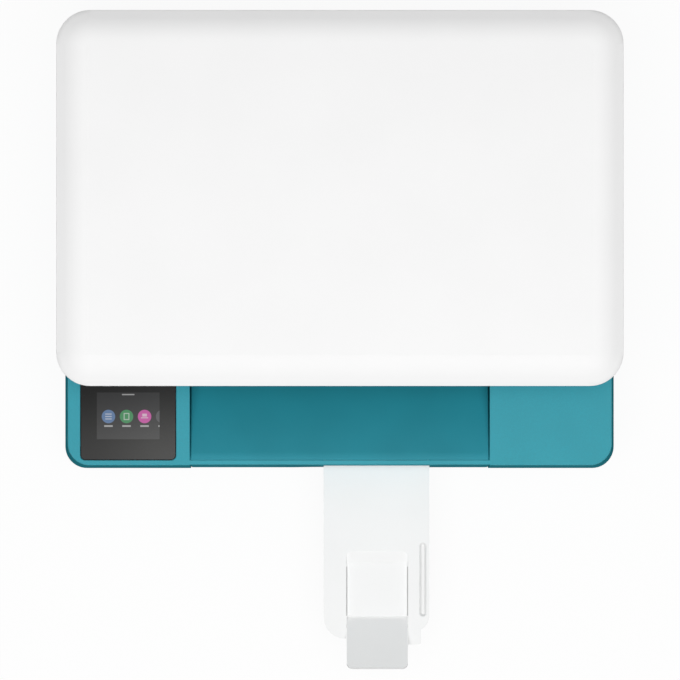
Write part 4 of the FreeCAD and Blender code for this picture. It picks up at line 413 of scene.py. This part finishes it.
def rim_mask(x, y, low, high, corner, width):
    """1 along the rim of a rounded box in mm: its two corners, its corner radius and the rim's width."""
    reach = []
    for place, near, far in ((x, low[0], high[0]), (y, low[1], high[1])):
        inner = ((far - near) / 2.0 - corner) * MM
        past = (place - (near + far) / 2.0 * MM).bend("ABSOLUTE") - inner
        reach.append(past.math("MAXIMUM", past, 0.0))
    far_out = (reach[0] * reach[0] + reach[1] * reach[1]).bend("SQRT")
    rim = (corner - width) * MM
    return far_out.over(rim - EDGE, rim + EDGE)


def rise(axis, limits_mm):
    """A soft step along one axis: 0 before the first limit in mm, 1 beyond the second."""
    return axis.over(limits_mm[0] * MM, limits_mm[1] * MM)


print("masks have edges of", round(2 * EDGE / MM, 2), "mm")

# %% [markdown]
# ## Painted shade in the extender's grooves
# The extender's finger groove and the two narrow slots beside the flap's pocket lie in shade, and here that
# shade is also painted into the colour: grey in the slots, fainter in the finger groove. That draws the
# thin grey lines that show the pocket from above. An Ambient Occlusion node could find such places by
# itself, but it is slow, and its answer changes with the piece's neighbours. So box masks mark the three
# grooves, and soft steps on Z keep the painted shade between the top and the underside.

# %% The extender's finish with painted shade in its grooves
TRAY_WHITE = (0.846, 0.850, 0.848)
SLOTS_X = (5.5, 52.9)
SLOT_Y = -194.4
SLOT_SPANS = (0.8, 38.4)
SLOT_LEVELS = (51.3, 51.8)
SLOT_SHADE = 0.57
GROOVE_PLACE, GROOVE_SPANS = (64.8, -185.2), (5.2, 57.0)
GROOVE_LEVELS = (54.3, 55.0)
GROOVE_SHADE = 0.16
UNDERSIDE_LEVELS = (50.4, 50.6)


def extender_painted_shade(place):
    """Painted shade: strong in the narrow slots, faint in the finger groove, none elsewhere."""
    x, y, z = axes(place)
    in_slot = 1 - rise(z, SLOT_LEVELS)
    in_groove = 1 - rise(z, GROOVE_LEVELS)
    slots = [box_mask(x, y, (slot_x, SLOT_Y), SLOT_SPANS) for slot_x in SLOTS_X]
    groove = box_mask(x, y, GROOVE_PLACE, GROOVE_SPANS) * in_groove * GROOVE_SHADE
    dust_and_shade = (slots[0] + slots[1]) * in_slot * SLOT_SHADE + groove
    return dust_and_shade * rise(z, UNDERSIDE_LEVELS)


# The extender's white, with painted shade in its grooves.
finishes["extender_white"] = moulded("extender_white", TRAY_WHITE, shine=0.38, grain_mm=0.30,
                                     grain_depth_mm=0.006, shift=0.012, dust_and_shade=extender_painted_shade)
print("dust in", len(SLOTS_X), "slots and a groove")

# %% [markdown]
# ## The control panel and its picture
# A glossy black lens covers most of the left block, and a small 4:3 display lights up through it. The
# picture could be a flat mesh laid on the lens, but it would then stand proud of a surface that is smooth
# on the real thing. So it is drawn in the lens's own finish, where each mask lays one colour over the
# last: three coloured discs in a row, a fourth one cut off by the right edge, a short pull bar at the top
# and a bar under each disc. The marks on the discs are plain shapes.

# %% The marks on the discs
ROW_SIZE, ROW_STEP = (5.0, 0.75), 1.9
SHEET_OUTER, SHEET_INNER = (4.4, 5.4), (3.0, 4.0)
LINE_SIZE, LINE_RISE = (5.6, 0.75), -1.0
PAGE_SIZE, PAGE_RISE = (3.6, 2.2), 1.1
SQUARE_SIZE = (3.0, 3.0)


def pale_mark(x, y, index, centre):
    """The mark on one disc: three bars, the outline of a sheet, a page over a line, or a square."""
    across, up = centre
    if index == 0:
        rows = [box_mask(x, y, (across, up + step), ROW_SIZE) for step in (-ROW_STEP, 0.0, ROW_STEP)]
        return rows[0] + rows[1] + rows[2]
    if index == 1:
        return box_mask(x, y, centre, SHEET_OUTER) - box_mask(x, y, centre, SHEET_INNER)
    if index == 2:
        line = box_mask(x, y, (across, up + LINE_RISE), LINE_SIZE)
        return line + box_mask(x, y, (across, up + PAGE_RISE), PAGE_SIZE)
    return box_mask(x, y, centre, SQUARE_SIZE)


print("marks for the discs ready")

# %% The lit picture
LENS_MIDDLE = (-164.0, -57.5)
DISC_ROW, DISC_RADIUS = -58.0, 5.2
FIRST_DISC, DISC_PITCH = -179.3, 14.0
DISC_COLOURS = [(0.095, 0.165, 0.300), (0.045, 0.215, 0.085), (0.460, 0.080, 0.300), (0.080, 0.080, 0.086)]
MARK_LIGHTS = [0.55, 0.55, 0.55, 0.1]
BAR_ROW, PULL_ROW = -65.4, -41.0
BAR_SIZE, PULL_SIZE = (6.6, 1.3), (9.6, 0.9)
BAR_LIGHT, PULL_LIGHT = 0.50, 0.45
PALE = (0.62, 0.62, 0.62)
GLOW_BACK, GLOW_FRONT = (0.016, 0.016, 0.017), (0.036, 0.036, 0.037)


def picture(x, y, forward):
    """The display's light: a dark grey ground, lighter to the front, with its discs and bars."""
    glow = forward.tint(GLOW_BACK, GLOW_FRONT)
    for index, (shade, light) in enumerate(zip(DISC_COLOURS, MARK_LIGHTS)):
        centre = (FIRST_DISC + index * DISC_PITCH, DISC_ROW)
        glow = disc_mask(x, y, centre, DISC_RADIUS).tint(glow, shade)
        glow = (pale_mark(x, y, index, centre) * light).tint(glow, PALE)
        glow = (box_mask(x, y, (centre[0], BAR_ROW), BAR_SIZE) * BAR_LIGHT).tint(glow, PALE)
    return (box_mask(x, y, (LENS_MIDDLE[0], PULL_ROW), PULL_SIZE) * PULL_LIGHT).tint(glow, PALE)


print("picture of", len(DISC_COLOURS), "discs")

# %% [markdown]
# The lens over the picture is black glossy plastic with a slight painted reflection that lifts its black
# towards the front right, and a blacker printed rim. The painted reflection could be a turned gradient, but
# it gathers in one corner, so two soft steps, one along Y and one along X, and their product make it up.
# Faint smudges from fingers vary the shine.

# %% Draw the lens
PICTURE_SIZE = (48.6, 36.2)
# Where and how strongly the painted reflection lifts the lens's black, in mm and shares.
REFLECTION_Y, REFLECTION_X = (-94.0, -26.0), (-201.0, -127.0)
FORWARD_REFLECTION, RIGHT_REFLECTION, CORNER_REFLECTION = 0.50, 0.10, 0.40
LENS_DARK, LENS_REFLECTED = (0.002, 0.002, 0.002), (0.070, 0.069, 0.067)
LENS_CORNER, LENS_RIM = 4.0, 0.6
RIM_BLACK = (0.001, 0.001, 0.001)
NO_LIGHT = (0.0, 0.0, 0.0)
SMUDGE_MM, SMUDGE_RANGE = 22.0, (0.4, 0.8)


def lens_finish():
    """Glossy black with a painted reflection lighter to the front right, a printed rim and the picture
    shining through.
    """
    material, shader, place = start("black_lens")
    x, y = axes(place)[:2]
    forward = 1 - rise(y, REFLECTION_Y)
    right = rise(x, REFLECTION_X)
    # Painted reflection: the black lifts towards the front and the right.
    painted_reflection = forward * FORWARD_REFLECTION + right * RIGHT_REFLECTION + forward * right * CORNER_REFLECTION
    low, high = [[value / MM for value in corner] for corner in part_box("screen_lens")]
    rim = rim_mask(x, y, low, high, LENS_CORNER, LENS_RIM)
    base = rim.tint(painted_reflection.tint(LENS_DARK, LENS_REFLECTED), RIM_BLACK)
    inside = box_mask(x, y, LENS_MIDDLE, PICTURE_SIZE)
    light = inside.tint(NO_LIGHT, picture(x, y, forward))
    smudge = cloud(place, SMUDGE_MM, detail=4.0).over(*SMUDGE_RANGE)
    feed(shader, Base_Color=base, Roughness=smudge.between(0.06, 0.11), IOR=1.32,
         Emission_Color=light, Emission_Strength=1.0)
    return material


finishes["black_lens"] = lens_finish()
print("picture", PICTURE_SIZE, "mm at", LENS_MIDDLE)

# %% [markdown]
# ## Ink cartridges
# Two cartridges ride in the carriage, one with black ink and one with three colours. The thumb tab of
# each carries a grey patch or three coloured ones, so that a hand puts it in the right place. A patch
# could be a label of its own, but it has no thickness worth modelling. So box masks colour the top of the
# tab, and a step on Z keeps the colour off the lower parts.

# %% Cartridges with coloured tabs
TAB_LEVELS = (112.5, 112.8)
INK_DARK, INK_LIGHT = (0.020, 0.020, 0.022), (0.028, 0.028, 0.030)


def cartridge_finish(name, spans, patches):
    """Satin black plastic, with flat patches of one size (x, y and colour of each) on the thumb tab."""
    material, shader, place = start(name)
    x, y, z = axes(place)
    grain = cloud(place, grain_mm=0.4)
    base = grain.tint(INK_DARK, INK_LIGHT)
    top = rise(z, TAB_LEVELS)
    for patch_x, patch_y, shade in patches:
        base = (box_mask(x, y, (patch_x, patch_y), spans) * top).tint(base, shade)
    feed(shader, Base_Color=base, Roughness=grain.between(0.32, 0.42), Normal=relief(grain, depth_mm=0.006))
    return material


TAB_Y = 79.0
BLACK_TAB_X, COLOUR_TAB_X = 140.0, 180.0
BLACK_PATCH, COLOUR_PATCH = (12.0, 5.0), (3.8, 5.0)
PATCH_PITCH = 4.2
PATCH_GREY = (0.10, 0.10, 0.11)
THREE_INKS = [(0.02, 0.30, 0.55), (0.50, 0.03, 0.20), (0.75, 0.55, 0.02)]
black_patches = [(BLACK_TAB_X, TAB_Y, PATCH_GREY)]
colour_patches = [(COLOUR_TAB_X + PATCH_PITCH * (n - 1), TAB_Y, ink) for n, ink in enumerate(THREE_INKS)]
finishes["black_ink"] = cartridge_finish("black_ink", BLACK_PATCH, black_patches)
finishes["colour_ink"] = cartridge_finish("colour_ink", COLOUR_PATCH, colour_patches)
print("tabs with", len(black_patches), "and", len(colour_patches), "patches")

# %% [markdown]
# ## The circuit board
# The main board is glass fibre under green lacquer, with copper tracks that show through as lighter
# lines. Modelled tracks would need thousands of faces inside a closed case. The fraction of X and of Y
# gives evenly spaced lines, a cloud makes them wander, and a little bump lets them stand up.

# %% The green board with its tracks
WANDER_MM, WANDER_REACH_MM = 14.0, 4.0
TRACKS_PER_M, CROSSINGS_PER_M = 700.0, 450.0
TRACK_EDGE, CROSSING_EDGE = (0.55, 0.65), (0.70, 0.80)
LACQUER, OVER_COPPER = (0.010, 0.105, 0.045), (0.022, 0.175, 0.075)


def board_finish():
    """Green lacquer with wandering tracks both ways."""
    material, shader, place = start("circuit_board")
    x, y = axes(place)[:2]
    wander = cloud(place, WANDER_MM) * (WANDER_REACH_MM * MM)
    track = ((x + wander) * TRACKS_PER_M).bend("FRACT").over(*TRACK_EDGE)
    crossing = ((y + wander) * CROSSINGS_PER_M).bend("FRACT").over(*CROSSING_EDGE)
    copper = track + crossing - track * crossing
    feed(shader, Base_Color=copper.tint(LACQUER, OVER_COPPER), Roughness=copper.between(0.26, 0.34),
         Normal=relief(copper, depth_mm=0.02))
    return material


finishes["circuit_board"] = board_finish()
print("tracks every", round(1000.0 / TRACKS_PER_M, 2), "mm")

# %% [markdown]
# ## Film and glass
# A clear film with fine upright ticks tells the carriage where it is, and a sheet of glass with a hint of
# green makes the scanner's bed. Ticks could be cut as slots in the film, but they are too fine for that,
# so the fraction of X draws them, and they are more solid than the film between them. The glass lets
# light through its shader, and wiping marks vary its shine a little.

# %% The position strip and the scanner glass
TICKS_PER_M = 1500.0
TICK_EDGE = (0.45, 0.55)
FILM_CLEAR, FILM_TICK = (0.72, 0.73, 0.71), (0.10, 0.10, 0.10)
GLASS_GREEN, GLASS_PALE = (0.90, 0.955, 0.94), (0.93, 0.97, 0.96)


def film_finish():
    """Clear film with dark ticks across X."""
    material, shader, place = start("clear_film")
    ticks = (axes(place)[0] * TICKS_PER_M).bend("FRACT").over(*TICK_EDGE)
    feed(shader, Base_Color=ticks.tint(FILM_CLEAR, FILM_TICK), Alpha=ticks.between(0.35, 0.80),
         Roughness=0.12)
    return material


def glass_finish():
    """Clear glass with faint smears."""
    material, shader, place = start("bed_glass")
    smear = cloud(place, grain_mm=30.0, detail=4.0)
    roughness = smear.over(0.5, 0.9).between(0.02, 0.06)
    feed(shader, Base_Color=smear.tint(GLASS_GREEN, GLASS_PALE), Roughness=roughness,
         Transmission_Weight=1.0, IOR=1.5)
    return material


finishes["clear_film"] = film_finish()
finishes["bed_glass"] = glass_finish()
print("ticks every", round(1000.0 / TICKS_PER_M, 2), "mm")

# %% [markdown]
# ## Put the finishes on the nodes
# Every solid of the printer has to wear one of these finishes. They could be given out by hand, name by
# name, but the record already lists which finish each node takes, so the solids are dressed straight from
# that list. A node's old plain colour goes, and the new finish takes its only slot.

# %% Dress every node
for row in record["subparts"]:
    mesh = nodes[row["node"]].data
    mesh.materials.clear()
    mesh.materials.append(finishes[row["material_slot"]])
print("dressed", len(record["subparts"]), "nodes with", len(finishes), "finishes")

# %% [markdown]
# ## Edges that catch the light
# No moulding has knife edges. The CAD solids keep the big radii, and a fine bevel here rounds what is
# left by a few tenths of a millimetre. Fillets in the CAD could do it, but hundreds of them would make
# the solids heavy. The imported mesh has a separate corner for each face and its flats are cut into
# triangles, so the corners are welded and the triangles of each flat merged first. Pieces with very fine
# features stay as they are, because there the bevel would shrink to nothing or fold over itself.

# %% Soften the sharp edges
EDGE_WIDTHS = {
    "drawer_front": 0.3, "base_pan": 0.35, "scan_frame": 0.4, "lid_cover": 0.5, "screen_lens": 0.12,
    "drawer_tray": 0.3, "left_width_guide": 0.3, "right_width_guide": 0.3, "length_guide": 0.3,
    "inner_cover": 0.4, "carriage": 0.12, "black_cartridge": 0.4, "colour_cartridge": 0.4,
    "power_inlet": 0.15, "usb_port": 0.2, "service_station": 0.4, "platen": 0.2, "scan_head": 0.15,
    "power_supply": 0.5,
}
WELD_MM = 0.002
FLAT_ANGLE, SHARP_ANGLE = 0.3, 40.0
EDGE_STEPS = 2


def soften(name, width_mm):
    """Welds a node's corners, merges its flats and rounds its sharp edges."""
    node = nodes[name]
    weld = node.modifiers.new("weld", "WELD")
    weld.merge_threshold = WELD_MM * MM
    merge = node.modifiers.new("merge_flats", "DECIMATE")
    merge.decimate_type = "DISSOLVE"
    merge.angle_limit = math.radians(FLAT_ANGLE)
    bevel = node.modifiers.new("soft_edge", "BEVEL")
    bevel.width = width_mm * MM
    bevel.segments = EDGE_STEPS
    bevel.limit_method = "ANGLE"
    bevel.angle_limit = math.radians(SHARP_ANGLE)
    bevel.harden_normals = True


for name, width_mm in EDGE_WIDTHS.items():
    soften(name, width_mm)
print("softened", len(EDGE_WIDTHS), "nodes at edges over", SHARP_ANGLE, "degrees")

# %% [markdown]
# ## The foam pad under the lid
# A sheet of white foam under the lid presses the page on the glass. In the CAD it is a plain slab, but
# foam has soft edges, its face swells a little towards the middle and its sides draw in between the
# corners. A cloth simulation could give that, but on a pad only 3.4 mm thick it is steadier to stack
# rings: each is a rounded outline at its own depth.

# %% Outlines that draw in between their corners
PAD_DRAW_IN = 0.7
SIDE_POINTS = 12
ARC_POINTS = 5


def quarter_turns(points, turns):
    """The points turned about the middle by a number of quarter turns."""
    for _ in range(turns):
        points = [(-y, x) for x, y in points]
    return points


def pad_outline(half_x, half_y, corner):
    """A rounded outline in mm round the middle, with sides that draw in between the corners."""
    points = []
    for turn in range(4):
        out, along = (half_x, half_y) if turn % 2 == 0 else (half_y, half_x)
        quarter = []
        for step in range(SIDE_POINTS):
            share = 2.0 * step / SIDE_POINTS - 1.0
            quarter.append((out - PAD_DRAW_IN * (1.0 - share * share), share * (along - corner)))
        for step in range(ARC_POINTS):
            angle = math.pi / 2.0 * step / ARC_POINTS
            arc_x, arc_y = corner * math.cos(angle), corner * math.sin(angle)
            quarter.append((out - corner + arc_x, along - corner + arc_y))
        points += quarter_turns(quarter, turn)
    return points


print("outline of", 4 * (SIDE_POINTS + ARC_POINTS), "points")

# %% Helpers that join loops and make a piece


def wall_between(mesh, first, second):
    """Joins two closed loops of as many points each."""
    for n in range(len(first)):
        mesh.faces.new((first[n - 1], first[n], second[n], second[n - 1]))


def piece_from(name, mesh, body, slot_name):
    """Turns built geometry into a piece that rides on a body and wears a finish."""
    bmesh.ops.recalc_face_normals(mesh, faces=mesh.faces)
    data = bpy.data.meshes.new(name)
    mesh.to_mesh(data)
    mesh.free()
    data.materials.append(finishes[slot_name])
    piece = bpy.data.objects.new(name, data)
    bpy.context.scene.collection.objects.link(piece)
    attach(piece, body)
    return piece


print("pieces can be built from loops")

# %% Stack the rings into the pad
PAD_CORNER = 3.0
PAD_SIDE = [(0.4, 0.0), (0.0, 0.5), (0.0, 1.6), (0.4, 2.4), (1.1, 2.85), (2.2, 3.0)]
PAD_FACE = [0.9, 0.75, 0.6, 0.45, 0.3, 0.15]
PAD_SWELL = 0.4


def pad_rings(half_x, half_y):
    """The outlines with their depths in mm: down the side by insets, then over the face by shares."""
    rings = []
    for inset, depth in PAD_SIDE:
        rings.append((pad_outline(half_x - inset, half_y - inset, PAD_CORNER - inset), depth))
    edge, edge_depth = rings[-1]
    for share in PAD_FACE:
        outline = [(x * share, y * share) for x, y in edge]
        rings.append((outline, edge_depth + PAD_SWELL * (1.0 - share * share)))
    return rings


def foam_pad():
    """The pad in the place of its slab, hanging from the slab's upper face."""
    low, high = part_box("backing_pad")
    middle_x, middle_y = [(low[axis] + high[axis]) / 2.0 for axis in (0, 1)]
    half_x, half_y = [(high[axis] - low[axis]) / 2.0 / MM for axis in (0, 1)]
    mesh = bmesh.new()
    loops = []
    for outline, depth in pad_rings(half_x, half_y):
        level = high[2] - depth * MM
        loops.append([mesh.verts.new((middle_x + x * MM, middle_y + y * MM, level)) for x, y in outline])
    for upper, lower in zip(loops, loops[1:]):
        wall_between(mesh, upper, lower)
    mesh.faces.new(loops[0])
    mesh.faces.new(loops[-1])
    for face in mesh.faces:
        face.smooth = True
    return piece_from("foam_pad", mesh, "lid", "pad_foam")


pad = foam_pad()
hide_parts("backing_pad")
print("pad of", len(pad.data.polygons), "faces")

# %% [markdown]
# ## Screws
# Screws hold the base pan from below and the dark cover round the ink bay from above. A head is a low
# drum with a cross cut in its top. The cut could be a boolean, but that can leave slivers on so small a
# piece. Here the round top and the cross are two outlines, the flat between them is filled, and the cross
# is then carried down to make the recess.

# %% Build one screw head with a cross recess
HEAD_RADIUS, HEAD_CROWN = 2.9, 2.5
HEAD_SIDE, HEAD_HEIGHT = 0.6, 1.1
HEAD_POINTS = 28
CROSS_REACH, CROSS_HALF, CROSS_DEPTH = 1.6, 0.42, 0.8
CROSS_CORNERS = [(CROSS_REACH, -CROSS_HALF), (CROSS_REACH, CROSS_HALF), (CROSS_HALF, CROSS_HALF)]


def ring(radius):
    """A circle of points in mm."""
    turns = [2.0 * math.pi * n / HEAD_POINTS for n in range(HEAD_POINTS)]
    return [(radius * math.cos(turn), radius * math.sin(turn)) for turn in turns]


def loop_of(mesh, points, z, place, facing):
    """A closed loop of points in mm at a height over the seat, facing up or down."""
    seat_x, seat_y, seat_z = place
    level = (seat_z + z * facing) * MM
    corners = [((seat_x + x) * MM, (seat_y + y * facing) * MM, level) for x, y in points]
    verts = [mesh.verts.new(corner) for corner in corners]
    return verts, [mesh.edges.new((verts[n - 1], verts[n])) for n in range(len(verts))]


def screw_head(mesh, place, facing):
    """One head on a seat at a place in mm."""
    cross = [corner for turn in range(4) for corner in quarter_turns(CROSS_CORNERS, turn)]
    foot, _ = loop_of(mesh, ring(HEAD_RADIUS), 0.0, place, facing)
    side, _ = loop_of(mesh, ring(HEAD_RADIUS), HEAD_SIDE, place, facing)
    crown, crown_edges = loop_of(mesh, ring(HEAD_CROWN), HEAD_HEIGHT, place, facing)
    mouth, mouth_edges = loop_of(mesh, cross, HEAD_HEIGHT, place, facing)
    bottom, _ = loop_of(mesh, cross, HEAD_HEIGHT - CROSS_DEPTH, place, facing)
    wall_between(mesh, foot, side)
    wall_between(mesh, side, crown)
    bmesh.ops.triangle_fill(mesh, use_beauty=True, edges=crown_edges + mouth_edges)
    wall_between(mesh, mouth, bottom)
    mesh.faces.new(bottom)
    mesh.faces.new(foot)


print("heads of", 2 * HEAD_RADIUS, "mm")

# %% Put the screws in place
DOWN, UP = -1, 1
PAN_Z, COVER_Z = 4.0, 117.0
PAN_X, PAN_Y = (-150.0, 150.0), (-74.0, 220.0)
PAN_SIDE_X, PAN_SIDE_Y = (-200.0, 200.0), 80.0
COVER_X, COVER_Y = (-196.0, 196.0), (-14.0, 226.0)


def screws(name, places, facing):
    """A row of heads as one piece."""
    mesh = bmesh.new()
    for place in places:
        screw_head(mesh, place, facing)
    return piece_from(name, mesh, "root", "ground_steel")


pan_places = [(x, y, PAN_Z) for x in PAN_X for y in PAN_Y] + [(x, PAN_SIDE_Y, PAN_Z) for x in PAN_SIDE_X]
cover_places = [(x, y, COVER_Z) for x in COVER_X for y in COVER_Y]
screws("pan_screws", pan_places, DOWN)
screws("cover_screws", cover_places, UP)
print("screws:", len(pan_places), "below and", len(cover_places), "on the cover")

# %% [markdown]
# ## Ribs in the gaps beside the well
# The floor of the output well is a piece of its own, with a narrow gap on each side. A thin rib on the
# front piece fills the bottom of each gap, so that no dust falls through: it lies deep at the back and
# rises to the rim, which is why the gap is nearly black under the lid and fades out to teal at its front
# end. A turned box would do for a straight rib, but this one bends, so it is lofted: one small
# cross-section is repeated along a line, and walls join the sections.

# %% Loft the two ribs
RIB_LINE = [(-91.9, 82.6), (-89.5, 81.8), (-80.0, 77.0), (-60.0, 67.6), (-34.0, 53.0), (-26.5, 51.0)]
RIB_SECTION = [(115.3, -0.3), (115.6, 0.0), (116.4, 0.0), (116.4, -1.6), (115.3, -1.2)]


def well_ribs():
    """A rib on each side: the line gives y and z in mm, the section x and the height over the line."""
    mesh = bmesh.new()
    for side in (-1, 1):
        loops = []
        for y, z in RIB_LINE:
            section = [(side * x * MM, y * MM, (z + level) * MM) for x, level in RIB_SECTION]
            loops.append([mesh.verts.new(corner) for corner in section])
        for first, second in zip(loops, loops[1:]):
            wall_between(mesh, first, second)
        mesh.faces.new(loops[0])
        mesh.faces.new(loops[-1])
    # The ribs wear the well floor's teal, darkened as painted shade.
    return piece_from("well_ribs", mesh, "root", "teal_floor")


ribs = well_ribs()
print("ribs of", len(ribs.data.polygons), "faces")

# %% [markdown]
# ## The table
# The printer stands on a plain white table, which carries its shadow. A table lit until it is white would
# throw that much light back up at the printer. So it is shown in two ways. To the camera, and in
# reflections and through glass, it is mostly an even white glow with some of its lit surface mixed in,
# which keeps a faint shadow. To the light that falls on the printer it is a darker surface, so the bounce
# from below stays low.

# %% A flat table
TABLE_HALF, TABLE_CELLS = 4.0, 8
scene = bpy.context.scene
table_mesh = bmesh.new()
bmesh.ops.create_grid(table_mesh, x_segments=TABLE_CELLS, y_segments=TABLE_CELLS, size=TABLE_HALF)
table_data = bpy.data.meshes.new("table")
table_mesh.to_mesh(table_data)
table_mesh.free()
table = bpy.data.objects.new("table", table_data)
scene.collection.objects.link(table)
print("table", 2 * TABLE_HALF, "m wide")

# %% The table's finish
FULL_WHITE = (1.0, 1.0, 1.0, 1.0)
BOUNCE = (0.30, 0.30, 0.30, 1.0)
TABLE_CLOUD_MM = 80.0
TABLE_DARK, TABLE_LIGHT = (0.80, 0.80, 0.80), (0.83, 0.83, 0.83)
TABLE_GLOW = 0.93


def seen_directly(tree):
    """1 for rays from the camera, in reflections and through glass, 0 for light on the object."""
    camera_ray = Wire(tree, None).make("ShaderNodeLightPath", out="Is Camera Ray")
    either = camera_ray.math("MAXIMUM", camera_ray, camera_ray.beside("Is Glossy Ray"))
    return either.math("MAXIMUM", either, camera_ray.beside("Is Transmission Ray"))


def table_finish():
    """Mostly white glow where it is seen, a darker surface where it lights the printer."""
    material, shader, place = start("pale_table")
    tree = material.node_tree
    feed(shader, Base_Color=cloud(place, TABLE_CLOUD_MM).tint(TABLE_DARK, TABLE_LIGHT), Roughness=0.6)
    lit = Wire(tree, shader.outputs[0])
    glow = place.make("ShaderNodeEmission", None, {"Color": FULL_WHITE, "Strength": 1.0})
    shown = place.make("ShaderNodeMixShader", None, {0: TABLE_GLOW, 1: lit, 2: glow})
    bounce = place.make("ShaderNodeBsdfDiffuse", None, {"Color": BOUNCE})
    both = place.make("ShaderNodeMixShader", None, {0: seen_directly(tree), 1: bounce, 2: shown})
    tree.links.new(both.socket, tree.nodes["Material Output"].inputs["Surface"])
    return material


table_data.materials.append(table_finish())
print("table glow", TABLE_GLOW, "and bounce", BOUNCE[0])

# %% [markdown]
# ## The sky
# A studio has pale walls that fill the shadows a little. They could be built as big reflector cards, but
# an even world colour does the same and has no edges. As with the table, what the camera sees of it is
# white, while the light that it sheds is weak.

# %% A weak even sky
SKY = 0.24
scene.view_settings.view_transform = "Standard"
world = bpy.data.worlds.new("studio")
scene.world = world
world.use_nodes = True
studio = Wire(world.node_tree, None)
sky = studio.make("ShaderNodeBackground", None, {"Color": FULL_WHITE, "Strength": SKY})
backdrop = studio.make("ShaderNodeBackground", None, {"Color": FULL_WHITE, "Strength": 1.0})
air = studio.make("ShaderNodeMixShader", None, {0: seen_directly(world.node_tree), 1: sky, 2: backdrop})
world.node_tree.links.new(air.socket, world.node_tree.nodes["World Output"].inputs["Surface"])
print("sky of strength", SKY)

# %% [markdown]
# ## The soft box
# One round soft box hangs overhead, a little to the front, so the sloping front edge of the lid is
# brighter than the back one and each step casts a short soft shade. Several lamps would do that too, but
# their shades cross. For a disc of half angle `BOX_SPREAD` that faces the printer from a distance d, the
# share `BOX_SHARE` of full light takes that share times (pi d / cos spread) squared watts. The disc here
# leans out to the front instead, so a little less than that share arrives. With the sky, the lid's white
# of about 0.9 then comes out a little under full white.

# %% Hang the soft box
BOX_SHARE = 0.84
BOX_TILT = math.radians(18.0)
BOX_SPREAD = math.radians(25.0)
BOX_DISTANCE = 5.0
soft_box = bpy.data.lights.new("soft_box", "AREA")
soft_box.shape = "DISK"
soft_box.size = 2.0 * BOX_DISTANCE * math.tan(BOX_SPREAD)
soft_box.energy = BOX_SHARE * (math.pi * BOX_DISTANCE / math.cos(BOX_SPREAD)) ** 2
soft_box_object = bpy.data.objects.new("soft_box", soft_box)
soft_box_object.location = (0.0, -BOX_DISTANCE * math.sin(BOX_TILT), BOX_DISTANCE * math.cos(BOX_TILT))
soft_box_object.rotation_euler = (-BOX_TILT, 0.0, 0.0)
soft_box_object.visible_glossy = False
scene.collection.objects.link(soft_box_object)
print("soft box of", round(soft_box.size, 2), "m and", round(soft_box.energy), "W")

# %% [markdown]
# ## The camera
# The camera hangs almost seven metres up and looks straight down, with the printer's back at the top of
# the image. An orthographic camera would flatten the view fully, but the photograph has a trace of
# perspective: the lid, 165 mm up, comes out about 1.2 percent larger in scale than the deck half as high.
# So a very long lens is used. It stands a hair left of the middle and turns back to it.

# %% Hang the camera
CAMERA_X, CAMERA_Y, CAMERA_HEIGHT = -0.015, 0.0013, 6.77
LENS_MM, SENSOR_MM = 456.6, 36.0
camera_data = bpy.data.cameras.new("camera")
camera_data.lens = LENS_MM
camera_data.sensor_width = SENSOR_MM
camera = bpy.data.objects.new("camera", camera_data)
camera.location = (CAMERA_X, CAMERA_Y, CAMERA_HEIGHT)
camera.rotation_euler = (0.0, math.atan2(CAMERA_X, CAMERA_HEIGHT - cad_high[2]), 0.0)
scene.collection.objects.link(camera)
scene.camera = camera
print("image is", round(CAMERA_HEIGHT * SENSOR_MM / LENS_MM / MM), "mm wide at the table")
